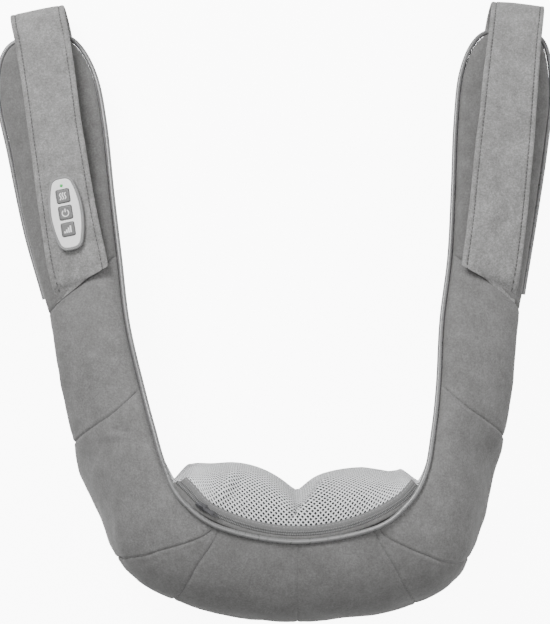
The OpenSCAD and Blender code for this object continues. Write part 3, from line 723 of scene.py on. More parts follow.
@dataclass
class CoverPanel:
    """A suede panel of the cover, sewn between two seams over soft filling."""

    name: str
    form: ArmForm
    start: Seam
    finish: Seam
    suede: Finish
    fill: float = 0.7
    cell: float = 2.0
    thick: float = 2.2
    creases: tuple[Crease, ...] = ()
    seed: int = 1

    def grid(self) -> tuple[np.ndarray, np.ndarray]:
        """Stations and arc positions of the panel's grid."""
        fine, mid = np.linspace(0, 1, 81), np.full(81, 0.5)
        s_mid = self.start.at(mid) + (self.finish.at(mid) - self.start.at(mid)) * fine
        round_path = self.form.arc(np.full(81, s_mid[40]), fine)
        side_t = np.full(81, 0.5)
        along_path = self.form.arc(s_mid, side_t)
        count_t = int(walked(round_path[:, None], 0)[-1, 0] / self.cell) + 2
        count_u = int(walked(along_path[:, None], 0)[-1, 0] / self.cell * 1.15) + 6
        t = even_spacing(round_path, count_t, 0.25)[None, :]
        u = even_spacing(along_path, count_u, 0.55)[:, None]
        s = self.start.at(t) + (self.finish.at(t) - self.start.at(t)) * u
        return np.broadcast_arrays(s, t)

    def surface(self) -> np.ndarray:
        """The panel's outer surface: drawn in at its seams and uneven over its filling."""
        s, t = self.grid()
        flat = self.form.arc(s, t)
        out = normals(flat) * (-self.form.half.value)
        along, around = walked(flat, 0), walked(flat, 1)
        to_start, to_finish = along, along[-1:] - along
        to_edge = np.minimum(around, around[:, -1:] - around)
        pucker = 1 + 0.22 * ripple(flat, 13.0, 40)
        sink = np.zeros(flat.shape[:2])
        for distance, seam in ((to_start, self.start), (to_finish, self.finish)):
            sink += seam.pull * (dip(distance, 1.1, 0.95) + dip(distance, 1.0, 7.0) * pucker)
            sink -= seam.pull * dip(distance - 3.4, 0.3, 1.6)
        free = np.clip(to_edge / 9.0, 0, 1)
        free = free * free * (3 - 2 * free)
        hump = 0.9 * ripple(flat, 85.0, 7) + 0.32 * ripple(flat, 30.0, 8) + 0.09 * ripple(flat, 11.0, 9)
        for crease in self.creases:
            sink += crease.sink(flat) * (flat[..., 2] > 20)
        moved = flat + out * ((hump - sink) * free - dip(to_edge, 0.4, 3.0))[..., None]
        moved[..., 2] = np.maximum(moved[..., 2], BASE_TOP)
        return moved

    def make(self) -> bpy.types.Object:
        """Build the panel and give it its thickness."""
        bm = sheet_grid(self.surface(), flip=self.form.half is Half.RIGHT)
        bmesh.ops.solidify(bm, geom=bm.faces[:], thickness=self.thick * MM)
        obj = piece(f"{self.name}_cover_{self.form.half.word}", bm, [self.suede],
                    nodes=[f"{self.name}_{self.form.half.word}"], sharp=60)
        return obj


def perforate(bm: bmesh.types.BMesh, rim: float, depth: float) -> None:
    """Turn a grid of quads into a knit of diamond holes.

    Args:
        bm: The grid, changed in place; hole floors get material 1, which paints the shade inside the holes.
        rim: Width of the yarn left on each side of a hole, in millimetres.
        depth: How far a hole goes in, in millimetres.
    """
    lattice = [e for e in bm.edges if not e.is_boundary]
    bmesh.ops.poke(bm, faces=bm.faces[:])
    bmesh.ops.dissolve_edges(bm, edges=lattice, use_verts=False, use_face_split=False)
    holes = [f for f in bm.faces if len(f.verts) == 4]
    bmesh.ops.inset_individual(bm, faces=holes, thickness=rim * MM, depth=-depth * MM, use_even_offset=True)
    # Hole floors take material 1: painted shade for the dark inside of each hole.
    for f in holes:
        f.material_index = 1


@dataclass
class Lining:
    """The knitted lining on the underside of one arm."""

    form: ArmForm
    start: float = 2.3
    finish: float = 12.0
    pitch: float = 4.2

    def make(self) -> bpy.types.Object:
        """Build the lining as an open knit."""
        fine = np.linspace(0, 1, 201)
        s_fine = self.start + (self.finish - self.start) * fine
        along = self.form.under(s_fine, np.full(201, 0.5))
        across = self.form.under(np.full(201, 6.0), fine)
        rows = int(walked(along[:, None], 0)[-1, 0] / self.pitch)
        columns = int(walked(across[:, None], 0)[-1, 0] / self.pitch) + 1
        s = self.start + (self.finish - self.start) * even_spacing(along, rows)[:, None]
        t = even_spacing(across, columns)[None, :]
        points = self.form.under(s, t)
        around = walked(points, 1)
        free = np.clip(np.minimum(around, around[:, -1:] - around) / 8.0, 0, 1)
        up = normals(points) * self.form.half.value
        points = points + up * (0.5 * ripple(points, 60.0, 21) * free)[..., None]
        bm = sheet_grid(points, flip=self.form.half is Half.LEFT)
        perforate(bm, 0.72, 0.7)
        name = f"arm_lining_{self.form.half.word}"
        obj = piece(f"{name}_knit", bm, [MESH_YARN, MESH_HOLE_PAINTED_SHADE], nodes=[name], sharp=75)
        return obj


@dataclass
class Piping:
    """Satin piping down the inner edge, round the tip and back up the outer edge."""

    form: ArmForm
    radius: float = 2.3
    last: float = 7.0

    def path(self) -> np.ndarray:
        """Centre line in millimetres."""
        off = self.radius + 0.05
        outward_run = np.concatenate([np.arange(0, 11.0, 0.1), np.arange(11.0, 11.8, 0.05)])
        return_run = np.concatenate([np.arange(11.75, 11.0, -0.05), np.arange(11.0, self.last, -0.1)])
        down, back = self.form.edge(outward_run, False, off), self.form.edge(return_run, True, off)
        return resampled(np.concatenate([down, back]), 2.5)

    def make(self) -> bpy.types.Object:
        """Build the piping as one smooth cord."""
        name = f"piping_{self.form.half.word}"
        return piece(f"{name}_cord", tube(self.path(), self.radius, 14), [PIPING], nodes=[name])


@dataclass
class Collar:
    """The padded collar: its cover, linings and piping, on both halves.

    The places in left_rows and right_rows, and in the gusset, corner, elbow and strap seams, were
    worked out by a separate calculation and copied in. They aren't derived from the collar's sizes.
    """

    right_rows: tuple[tuple[float, ...], ...] = (
        (0, 30, 150, 0, 34, -6, 85), (66, 41, 150, 66, 44, -6, 88), (97, 62, 149, 112, 56, 4, 84),
        (115, 90, 140, 150, 70, 25, 55), (124, 128, 128, 180, 88, 46, 26), (130, 168, 115, 190, 122, 72, 22),
        (135, 227, 98, 201, 188, 74, 20), (144, 286, 80, 209, 245, 65, 18), (149, 349, 62, 223, 320, 50, 16),
        (153, 412, 46, 235, 389, 37, 15), (160, 464, 33, 242, 449, 28, 14), (177, 497, 26, 235, 493, 24, 12),
        (208, 506, 23, 208, 506, 23, 0),
    )
    left_rows: tuple[tuple[float, ...], ...] = (
        (0, 30, 150, 0, 34, -6, 85), (68, 42, 150, 68, 44, -6, 88), (104, 67, 149, 112, 56, 4, 84),
        (120, 96, 140, 150, 70, 25, 66), (132, 130, 128, 194, 92, 46, 37), (143, 165, 115, 206, 117, 72, 22),
        (158, 223, 98, 220, 180, 74, 20), (167, 285, 80, 233, 241, 65, 18), (176, 349, 62, 254, 310, 50, 16),
        (184, 412, 46, 271, 384, 37, 15), (195, 461, 33, 284, 445, 28, 14), (215, 493, 26, 276, 486, 24, 12),
        (244, 501, 23, 244, 501, 23, 0),
    )
    middle: Seam = Seam(((0, 0), (1, 0)), 0.55)
    gusset: Seam = Seam(((0, 1.01), (0.12, 1.18), (0.36, 1.28), (1, 1.35)), 0.75)
    corner: Seam = Seam(((0, 1.04), (0.065, 1.42), (0.19, 1.93), (0.3, 2.2), (0.46, 2.42), (1, 2.46)), 0.9)
    elbow: Seam = Seam(((0, 4.98), (0.37, 4.87), (0.65, 4.9), (1, 4.93)))
    strap: Seam = Seam(((0, 7.02), (0.4, 6.9), (0.7, 6.84), (1, 6.86)), 1.1)
    tip: Seam = Seam(((0, 12), (1, 12)), 0.0)
    left_creases: tuple[Crease, ...] = (
        Crease((-171, 128), (-145, 125), 3.5, 1.1), Crease((-187, 115), (-137, 120), 5.0, 1.3),
        Crease((-168, 100), (-152, 98), 12.0, 1.6), Crease((-178, 121), (-140, 123), 3.5, -0.7),
        Crease((-196, 132), (-160, 158), 6.0, -0.6),
    )
    right_creases: tuple[Crease, ...] = (
        Crease((150, 148), (186, 116), 6.0, -0.6), Crease((134, 120), (160, 100), 9.0, 0.8),
    )

    def form(self, half: Half) -> ArmForm:
        """The loft of one half."""
        rows = self.left_rows if half is Half.LEFT else self.right_rows
        return ArmForm(half, np.array(rows, float))

    def make(self) -> None:
        """Build every panel, lining and piping of the collar."""
        for half in Half:
            form = self.form(half)
            creases = self.left_creases if half is Half.LEFT else self.right_creases
            for name, start, finish, suede, folds in (
                # back_panel and gusset wear the band suede, darker partly as painted shade and partly as its own
                # tint.
                ("back_panel", self.middle, self.gusset, SUEDE_BAND_TINT_AND_SHADE, ()),
                ("gusset", self.gusset, self.corner, SUEDE_BAND_TINT_AND_SHADE, ()),
                ("corner_panel", self.corner, self.elbow, SUEDE, creases),
                ("arm_panel", self.elbow, self.strap, SUEDE, ()),
                # pad_panel wears the darker suede, partly painted shade beside the strap and partly its own tint.
                ("pad_panel", self.strap, self.tip, SUEDE_DARK_TINT_AND_SHADE, ()),
            ):
                CoverPanel(name, form, start, finish, suede, creases=folds).make()
            Lining(form).make()
            Piping(form).make()


# ---------------------------------------------------------------- straps


@dataclass
class HandStrap:
    """A flat padded strap, sewn on over the arm and folded back under its tip.

    Each row gives x, y, height, sideways tilt, turn in plan and width.
    """

    half: Half
    rows: tuple[tuple[float, ...], ...]
    skew: float
    thick: float = 4.0
    tuck: float = 3.4
    hem: float = 4.9
    stitch: float = 2.7
    crown: float = 0.5
    @property
    def last(self) -> int:
        """The last whole position along the strap."""
        return len(self.rows) - 1

    def row(self, s: np.ndarray) -> np.ndarray:
        """Distance along Y, height and tilt at positions s."""
        rows = np.array(self.rows, float)
        return along_rows(rows, rows[0], s)

    def centre(self, s: np.ndarray) -> np.ndarray:
        """Centre line at positions s."""
        row = self.row(s)
        high = np.maximum(row[..., 2], self.thick / 2) - self.tuck * np.exp(-((s / 0.28) ** 2))
        return np.stack([row[..., 0], row[..., 1], high], axis=-1)

    def at(self, s: np.ndarray, across: np.ndarray, high: np.ndarray) -> np.ndarray:
        """Points on the strap.

        Args:
            s: Position along it.
            across: Share of its half width from its centre line, outwards.
            high: Millimetres above its middle.

        Returns:
            Points in millimetres.
        """
        s, across, high = np.broadcast_arrays(s, across, high)
        run = unit(self.centre(np.minimum(s + 0.05, self.last)) - self.centre(np.maximum(s - 0.05, 0)))
        row = self.row(s)
        tilt, yaw = np.radians(row[..., 3]), -np.radians(row[..., 4])
        wide = np.stack([np.cos(yaw) * np.cos(tilt), np.sin(yaw) * np.cos(tilt), -np.sin(tilt)], axis=-1)
        up = unit(np.cross(wide, run))
        slant = run * (self.skew * np.maximum(0, 1 - s * 1.6) * across)[..., None]
        p = self.centre(s) + wide * (across * row[..., 5] / 2)[..., None] - slant + up * high[..., None]
        p[..., 2] = np.maximum(p[..., 2], 0.0)
        return p * np.array([self.half.value, 1, 1])

    def section(self) -> tuple[np.ndarray, np.ndarray]:
        """Share of the half width, and height, of the points round the strap's section."""
        half, r = self.rows[4][5] / 2, self.thick / 2
        turn = np.linspace(0, np.pi / 2, 5)
        groove = half - self.hem
        flat = np.concatenate([np.linspace(0, groove - 1.6, 9),
                               groove + np.array([-0.9, -0.45, 0, 0.45, 0.9])])
        x = np.concatenate([flat, half - r + r * np.sin(turn)])
        top = self.crown * (1 - (x / half) ** 2)
        top -= 0.95 * np.exp(-(((x - groove) / 0.75) ** 2))
        high = top + r * np.concatenate([np.ones(len(flat)), np.cos(turn)]) - self.crown * 0.5
        over_x, over_z = np.concatenate([-x[:0:-1], x]) / half, np.concatenate([high[:0:-1], high])
        return np.concatenate([over_x, over_x[-2:0:-1]]), np.concatenate([over_z, -over_z[-2:0:-1]])

    def positions(self) -> np.ndarray:
        """Positions along the strap, about 2.4 mm apart."""
        fine = self.centre(np.linspace(0, self.last, 600))
        length = walked(fine[:, None], 0)[-1, 0]
        return even_spacing(fine, int(length / 2.4)) * self.last

    def make(self) -> None:
        """Build the strap with its stitched hems."""
        across, high = self.section()
        s = self.positions()[:, None]
        points = self.at(s, across[None, :], high[None, :])
        wave = 0.35 * ripple(points, 45.0, 31) + 0.1 * ripple(points, 14.0, 32)
        lift = normals(np.concatenate([points, points[:, :1]], axis=1))[:, :-1]
        points = points + lift * np.where(s < 0.3, 0, wave)[..., None] * 0.6
        points[..., 2] = np.maximum(points[..., 2], 0.0)
        name = f"strap_{self.half.word}"
        # The strap suede's lighter tone is partly painted light and partly its own tint.
        obj = piece(f"{name}_suede", capped(sheet_grid(points, around=True)), [SUEDE_STRAP_TINT_AND_LIGHT],
                    nodes=[name], sharp=60)
        self.stitches()

    def stitches(self) -> None:
        """Sew a row of thread along each hem."""
        fine = self.centre(np.linspace(0.25, self.last - 0.3, 900))
        count = int(walked(fine[:, None], 0)[-1, 0] / (self.stitch + 0.9))
        places = 0.25 + even_spacing(fine, count) * (self.last - 0.55)
        rows = []
        for side in (-1, 1):
            across = np.full(count, side * (1 - self.hem / (self.rows[4][5] / 2)))
            high = np.full(count, self.thick / 2 - 0.75)
            rows.append(self.at(places, across, high))
        piece(f"strap_stitching_{self.half.word}", stitch_rows(rows, self.stitch, 0.42), [THREAD])


LEFT_STRAP = (
    (199, 261.5, 94.5, 12, 9.5, 56.7), (203.7, 283, 95, 11, 10, 57.2), (210.4, 317, 91.8, 9.5, 9.8, 55),
    (218, 362, 85, 8, 9, 52.9), (224.6, 400, 78, 7, 8.8, 51.7), (231, 440, 68, 6, 9, 51.7),
    (239.6, 487, 53.5, 5, 10, 52.2), (245.3, 510, 43, 4, 11, 52.7), (248.3, 522, 28.5, 2, 11, 52.7),
    (248, 519, 11, 0, 11, 52.7), (244.8, 504, 2, 0, 11, 52.7), (239.5, 478, 2, 0, 10.5, 52.2),
    (234.3, 452, 10, 2, 10, 51.7), (229.5, 428, 19, 4, 10, 51.7),
)
RIGHT_STRAP = (
    (177, 262.5, 94.5, 12, 6.5, 56.6), (180, 284, 95, 11, 6.5, 56.8), (184.7, 317, 91.8, 9.5, 6.5, 56.2),
    (190, 362, 85, 8, 6.3, 56), (194.5, 400, 78, 7, 6.2, 55.1), (199.3, 440, 68, 6, 5.8, 53.6),
    (205.3, 487, 53.5, 5, 5.2, 51.6), (209.5, 514, 42.5, 4, 4.6, 51.6), (212.3, 528, 28, 2, 4.5, 51.6),
    (212, 525, 10.5, 0, 4.5, 51.6), (209.5, 510, 2, 0, 4.5, 51.6), (204.7, 480, 2, 0, 5, 52.1),
    (201, 452, 10, 2, 5.5, 52.6), (198, 428, 19, 4, 6, 52.6),
)


def stitch_rows(rows: Sequence[np.ndarray], length: float, radius: float) -> bmesh.types.BMesh:
    """Short thread stitches along rows of points.

    Args:
        rows: Centre points of the stitches, row by row, in millimetres.
        length: Length of a stitch.
        radius: Radius of the thread.

    Returns:
        All the stitches in one bmesh.
    """
    bm = bmesh.new()
    for row in rows:
        runs = unit(np.gradient(row, axis=0))
        for at, run in zip(row, runs):
            turn = Vector(run).to_track_quat("Z", "Y").to_matrix().to_4x4()
            made = bmesh.ops.create_cone(bm, cap_ends=True, segments=6, radius1=radius * 0.55 * MM,
                                         radius2=radius * 0.55 * MM, depth=length * MM,
                                         matrix=Matrix.Translation(Vector(at) * MM) @ turn)
            ends = made["verts"]
            ring = [e for v in ends for e in v.link_edges if len(set(e.verts) & set(ends)) == 2]
            sides = [e for e in set(ring) if abs((e.verts[0].co - e.verts[1].co).length - length * MM) < 1e-6]
            middle = bmesh.ops.subdivide_edges(bm, edges=sides, cuts=1)["geom_inner"]
            centre = Vector(at) * MM
            for v in middle:
                if isinstance(v, bmesh.types.BMVert):
                    v.co = centre + (v.co - centre) * (1 / 0.55)
    return bm


# ---------------------------------------------------------------- the mesh front


@dataclass
class MeshFront:
    """The stretched spacer mesh over the kneading heads, with its two humps and valley."""

    radius: float = 158.0
    half_angle: float = 44.2
    centre_y: float = 200.0
    top: float = 147.0
    low: float = 2.3
    crown: tuple[tuple[float, float], ...] = (
        (-112, 83), (-105, 88), (-98, 90), (-90, 91.1), (-62, 92.8), (0, 92.5), (30, 89.5), (62, 88.6), (75, 86.6),
        (86, 84.6), (112, 81))
    valley: float = 31.5
    shift: float = 0.6
    pitch: float = 4.4
    hump_foot: tuple[float, float] = (5.0, 57.0)
    hump_across: tuple[float, float] = (-0.736, 0.677)
    hang: float = 4.0
    lap_depth: float = 9.0

    def point(self, u: np.ndarray, v: np.ndarray) -> np.ndarray:
        """Points at u from -1 to 1 across and v from 0 to 1 down, in millimetres."""
        u, v = np.broadcast_arrays(u, v)
        degrees = (self.half_angle * u - self.shift) * (1 - 0.07 * v)
        strip = Zipper()
        end = eased((np.abs(degrees) - 39) / 4) * (1 - v)
        radius = self.radius - strip.lean(degrees) * (1 - end) + 6.0 * end
        x, y = radius * np.sin(np.radians(degrees)), self.centre_y - radius * np.cos(np.radians(degrees))
        valley = self.valley * np.exp(-((np.hypot(x, 4) / 19) ** 1.1))
        front = np.interp(x, *np.array(self.crown).T) - valley
        out = front - y
        top = self.top - strip.droop(degrees) - 3.0 * end
        cos, power = np.cos(np.pi * v), 2 / FULLNESS
        high = (top + self.low) / 2 + ((top - self.low) / 2) * np.sign(cos) * np.abs(cos) ** power
        return np.stack([x, y + out * np.abs(np.sin(np.pi * v)) ** power, high], axis=-1)

    def spaced(self, rows: int, columns: int) -> np.ndarray:
        """Grid of points spaced evenly down every line of the mesh."""
        fine = np.linspace(0, 1, 241)
        grid = []
        for u in np.linspace(-1, 1, rows):
            v = even_spacing(self.point(np.full(241, u), fine), columns)
            grid.append(self.point(np.full(columns, u), v))
        return np.array(grid)

    def slack(self, points: np.ndarray) -> np.ndarray:
        """How far the mesh falls in, where it is drawn between the heads and at its sides."""
        x, y, z = points[..., 0], points[..., 1], points[..., 2]
        upper = np.clip((z - 70) / 60, 0, 1)
        crease = x + 60 + (85 - y) * 0.61
        fold = dip(crease, 3.4, 6.0) - dip(crease + 12, 1.6, 7.0) - dip(crease - 10, 0.8, 6.0)
        return fold * upper + 0.7 * ripple(points, 50.0, 51)

    def behind(self, points: np.ndarray) -> np.ndarray:
        """Distance of points behind the edge of the right hump, negative on the hump."""
        (foot_x, foot_y), (across_x, across_y) = self.hump_foot, self.hump_across
        return (points[..., 1] - foot_y) * across_y - (points[..., 0] - foot_x) * -across_x

    def overhang(self, points: np.ndarray) -> np.ndarray:
        """How far the edge of the right hump hangs over the valley."""
        x, z, behind = points[..., 0], points[..., 2], self.behind(points)
        near = np.exp(np.minimum(behind, 0) / 7) * np.clip(1 - behind / 2, 0, 1)
        beside = np.clip((x + 6) / 10, 0, 1) * np.clip((36 - x) / 16, 0, 1)
        return self.hang * near * beside * np.clip((z - 60) / 40, 0, 1)

    def lap(self, points: np.ndarray) -> np.ndarray:
        """How far the mesh drops behind the edge of the right hump, in the valley."""
        x, z, behind = points[..., 0], points[..., 2], self.behind(points)
        drop = np.clip(behind / 2.5, 0, 1) * np.clip((15 - behind) / 12, 0, 1)
        beside = np.clip((x + 9) / 8, 0, 1) * np.clip((34 - x) / 16, 0, 1)
        return self.lap_depth * drop * beside * np.clip((z - 60) / 40, 0, 1)

    def make(self) -> None:
        """Build the mesh with its holes."""
        across = int(2 * math.radians(self.half_angle) * self.radius / self.pitch)
        middle = self.point(np.full(241, 0.4), np.linspace(0, 1, 241))
        down = int(walked(middle[:, None], 0)[-1, 0] / self.pitch)
        points = self.spaced(across, down)
        edge_u = np.minimum(np.arange(across), np.arange(across)[::-1])[:, None] * self.pitch
        edge_v = np.minimum(np.arange(down), np.arange(down)[::-1])[None, :] * self.pitch
        free = np.clip(np.minimum(edge_u, edge_v) / 14.0, 0, 1)
        fallen, over = self.lap(points) * free, self.overhang(points) * free
        points = points + normals(points) * (self.slack(points) * free)[..., None]
        points += np.stack([self.hump_across[0] * over, self.hump_across[1] * over, -fallen], axis=-1)
        bm = sheet_grid(points, flip=True)
        perforate(bm, 0.55, 0.8)
        obj = piece("mesh_front", bm, [MESH_YARN, MESH_HOLE_PAINTED_SHADE], nodes=["mesh_cover"], sharp=75)


@dataclass
class Zipper:
    """The zipper along the top of the mesh: facing, tapes, two rows of teeth and the slider."""

    centre_y: float = 200.0
    coil_radius: float = 163.0
    half_angle: float = 41.6
    level: float = 147.6
    tooth_pitch: float = 1.5
    slider_angle: float = 32.0

    def arc(self, radius: np.ndarray, degrees: np.ndarray, z: np.ndarray) -> np.ndarray:
        """Points at a radius and an angle from the middle of the band, drawn in towards both ends."""
        a = np.radians(degrees)
        wide = np.clip((radius - 160) / 10, 0, 1)
        radius = radius - self.lean(degrees) * (1 - 0.6 * wide)
        a = a * (1 + np.where(degrees < 0, 0.07, 0.0) * wide)
        return np.stack([radius * np.sin(a), self.centre_y - radius * np.cos(a), z + 0 * a], axis=-1)

    def lean(self, degrees: np.ndarray) -> np.ndarray:
        """How far the strip is drawn in over the mesh towards its ends, more on the left."""
        return np.where(degrees < 0, 5.5 * eased((-degrees - 28) / 12), 3.2 * eased((degrees - 34) / 9))

    def strip(self, name: str, profile: Sequence[tuple[float, float]], angle: float, finish: Finish,
              nodes: Iterable[str] = ()) -> None:
        """Sweep a closed (radius, height) profile along the arc."""
        degrees = np.linspace(-angle, angle, int(angle * 2.4))[:, None]
        r, z = np.array(profile).T
        shape = self.arc(np.broadcast_to(r, (len(degrees), len(r))), degrees, z[None, :])
        shape[..., 2] -= self.droop(degrees)
        piece(name, capped(sheet_grid(shape, around=True)), [finish], nodes=nodes, sharp=50)

    def droop(self, degrees: np.ndarray) -> np.ndarray:
        """How far the strip follows the collar's edge down towards its ends."""
        return 5.0 * np.clip((np.abs(degrees) - 30) / 14, 0, 1) ** 2

    def teeth(self) -> None:
        """Stand two meshing rows of moulded teeth along the coil."""
        bm = bmesh.new()
        reach = self.coil_radius * math.radians(self.half_angle)
        count = int(2 * reach / self.tooth_pitch)
        for k in range(count):
            for row in (-1, 1):
                degrees = self.half_angle * (2 * (k + (0.25 if row > 0 else 0.75)) / count - 1)
                high = self.level + 1.5 - float(self.droop(np.array(degrees)))
                at = self.arc(np.array(self.coil_radius + row * 1.15), np.array(degrees), np.array(high))
                spin = Matrix.Rotation(math.radians(degrees), 4, "Z")
                size = Matrix.Diagonal((1.0 * MM, 1.9 * MM, 1.5 * MM, 1))
                bmesh.ops.create_cube(bm, size=1.0, matrix=Matrix.Translation(Vector(at) * MM) @ spin @ size)
        bmesh.ops.bevel(bm, geom=bm.edges[:], offset=0.28 * MM, offset_type="OFFSET", segments=1, profile=0.5,
                        affect="EDGES", material=-1)
        piece("zipper_teeth", bm, [ZIP_COIL], nodes=["zipper_coil"], sharp=70)

    def slider(self) -> None:
        """Cast the slider's body, bridge and pull tab."""
        bm = bmesh.new()
        place = (Matrix.Translation((0, self.centre_y * MM, 0))
                 @ Matrix.Rotation(math.radians(-self.slider_angle), 4, "Z")
                 @ Matrix.Translation((0, -self.coil_radius * MM, 150.6 * MM)))
        for size, at in (((10, 6.8, 1.6), (0, 0, 0.8)), ((5, 2, 1.6), (0, 0, 2.2)),
                         ((2.2, 3.2, 1.0), (3.0, 0, 2.3))):
            block = Matrix.Translation(Vector(at) * MM) @ Matrix.Diagonal((*(s * MM for s in size), 1))
            bmesh.ops.create_cube(bm, size=1.0, matrix=block)
        for v in bm.verts:
            if v.co.z < 1.7 * MM and v.co.x < -4 * MM:
                v.co.y *= 0.62
        bmesh.ops.bevel(bm, geom=bm.edges[:], offset=0.35 * MM, offset_type="OFFSET", segments=2, profile=0.5,
                        affect="EDGES", material=-1)
        self.tab(bm)
        bmesh.ops.transform(bm, matrix=place, verts=bm.verts[:])
        piece("zipper_pull", bm, [NICKEL], body="slider", nodes=["zipper_slider"])

    def tab(self, bm: bmesh.types.BMesh) -> None:
        """Add the pull tab, a bevelled plate with a hole near its end."""
        rim = [(3, -1.3), (13.5, -2.0), (16, -1.6), (17.2, 0), (16, 1.6), (13.5, 2.0), (3, 1.3)]
        hole = [(14.2 + 1.1 * math.cos(a), 1.1 * math.sin(a)) for a in np.linspace(0, 2 * math.pi, 12, False)]
        made = plate(bm, [rim, hole], 2.0, 0.9)
        bmesh.ops.recalc_face_normals(bm, faces=made)

    def make(self) -> None:
        """Build the zipper from the piping inwards."""
        top = self.level
        facing = [(165.0, top), (165.0, top + 1.0), (165.6, top + 1.7), (167.0, top + 1.9), (168.6, top + 1.8),
                  (169.6, top + 1.3), (170.0, top + 0.3), (170.0, top - 0.6), (167.4, top - 0.8)]
        # The facing wears the band suede, darker partly as painted shade and partly as its own tint.
        self.strip("zipper_facing", facing, self.half_angle, SUEDE_BAND_TINT_AND_SHADE, ["zipper_tape"])
        inner = [(156.6, top - 0.7), (156.4, top - 0.1), (156.7, top + 0.5), (158.2, top + 0.8), (160.2, top + 0.9),
                 (161.0, top + 0.6), (161.2, top), (160.8, top - 0.6)]
        self.strip("zipper_tape_inner", inner, self.half_angle, ZIP_TAPE)
        web = [(160.9, top + 0.1), (161.0, top + 0.7), (163.0, top + 0.85), (165.2, top + 0.7), (165.3, top + 0.1)]
        self.strip("zipper_tape_web", web, self.half_angle, ZIP_TAPE)
        self.teeth()
        rows = []
        for radius, lift, angle in ((158.2, 0.8, self.half_angle - 0.6),):
            count = int(2 * math.radians(angle) * radius / 3.1)
            degrees = np.linspace(-angle, angle, count)
            rows.append(self.arc(np.full(count, radius), degrees, top + lift - self.droop(degrees)))
        piece("zipper_stitching", stitch_rows(rows, 2.2, 0.32), [THREAD_LIGHT])
        self.slider()


def plate(bm: bmesh.types.BMesh, loops: Sequence[Sequence[tuple[float, float]]], low: float,
          thick: float) -> list[bmesh.types.BMFace]:
    """Add a flat plate whose first loop is its rim and the others its holes.

    Args:
        bm: Where it is added.
        loops: Closed outlines in millimetres.
        low: Height of its underside.
        thick: Its thickness.

    Returns:
        The plate's faces.
    """
    edges = []
    for loop in loops:
        verts = [bm.verts.new((x * MM, y * MM, low * MM)) for x, y in loop]
        edges += [bm.edges.new((a, b)) for a, b in zip(verts, verts[1:] + verts[:1])]
    flat = [f for f in bmesh.ops.triangle_fill(bm, edges=edges, use_beauty=True)["geom"]
            if isinstance(f, bmesh.types.BMFace)]
    raised = bmesh.ops.extrude_face_region(bm, geom=flat, use_keep_orig=True)["geom"]
    bmesh.ops.translate(bm, verts=[v for v in raised if isinstance(v, bmesh.types.BMVert)],
                        vec=(0, 0, thick * MM))
    return list({f for v in bm.verts[-sum(map(len, loops)) * 2:] for f in v.link_faces} | set(flat))


@dataclass
class BasePanel:
    """The flat suede panel under the band, with a sewn border."""

    inner: float = 158.5
    outer: float = 212.0
    half_angle: float = 35.0
    thick: float = 2.0

    def arc(self, radius: np.ndarray, degrees: np.ndarray, z: np.ndarray) -> np.ndarray:
        """Points at a radius and an angle from the middle of the band."""
        a = np.radians(degrees)
        return np.stack([radius * np.sin(a), 200.0 - radius * np.cos(a), z + 0 * a], axis=-1)

    def make(self) -> None:
        """Build the panel with rounded borders and its row of stitches."""
        degrees = np.linspace(-self.half_angle, self.half_angle, 60)[:, None]
        radii = np.concatenate([[0, 0.4, 1.2], np.linspace(3, self.outer - self.inner - 3, 16),
                                [self.outer - self.inner - 1.2, self.outer - self.inner - 0.4,
                                 self.outer - self.inner]])
        edge = np.minimum(radii, radii[::-1])
        half = self.thick / 2 * np.clip(1 - (1 - edge / 1.2), 0.12, 1) ** 0.5
        half = half - 0.35 * np.exp(-(((edge - 5.0) / 0.8) ** 2))
        r = self.inner + np.concatenate([radii, radii[-2:0:-1]])
        z = self.thick / 2 + np.concatenate([-half, half[-2:0:-1]])
        shape = self.arc(np.broadcast_to(r, (60, len(r))), degrees, z[None, :])
        # The base panel wears the darker suede, partly painted shade and partly its own tint.
        obj = piece("base_panel_padded", capped(sheet_grid(shape, around=True)), [SUEDE_DARK_TINT_AND_SHADE],
                    nodes=["base_panel"], sharp=50)
        rows = []
        for radius in (self.inner + 5, self.outer - 5):
            count = int(2 * math.radians(self.half_angle - 2) * radius / 3.6)
            turn = np.linspace(2 - self.half_angle, self.half_angle - 2, count)
            rows.append(self.arc(np.full(count, radius), turn, np.full(count, 0.42)))
        piece("base_stitching", stitch_rows(rows, 2.7, 0.32), [THREAD])


# ---------------------------------------------------------------- controls


class Mode(Enum):
    """The three buttons, from the top down, and the body that each rides on."""

    HEAT = 1
    POWER = 0
    SPEED = -1

    @property
    def body(self) -> str:
        """Name of the button's CAD body and node."""
        return {1: "heat_button", 0: "power_button", -1: "speed_button"}[self.value]

    @property
    def node(self) -> str:
        """Name of the button's CAD node."""
        return f"button_{self.name.lower()}"


def ribbon(path: Sequence[tuple[float, float]], width: float) -> list[tuple[float, float]]:
    """Outline of a line of even width drawn along a path, in millimetres."""
    p = np.array(path, float)
    run = unit(np.gradient(p, axis=0))
    side = np.stack([-run[:, 1], run[:, 0]], axis=1) * width / 2
    return [tuple(q) for q in np.concatenate([p + side, (p - side)[::-1]])]


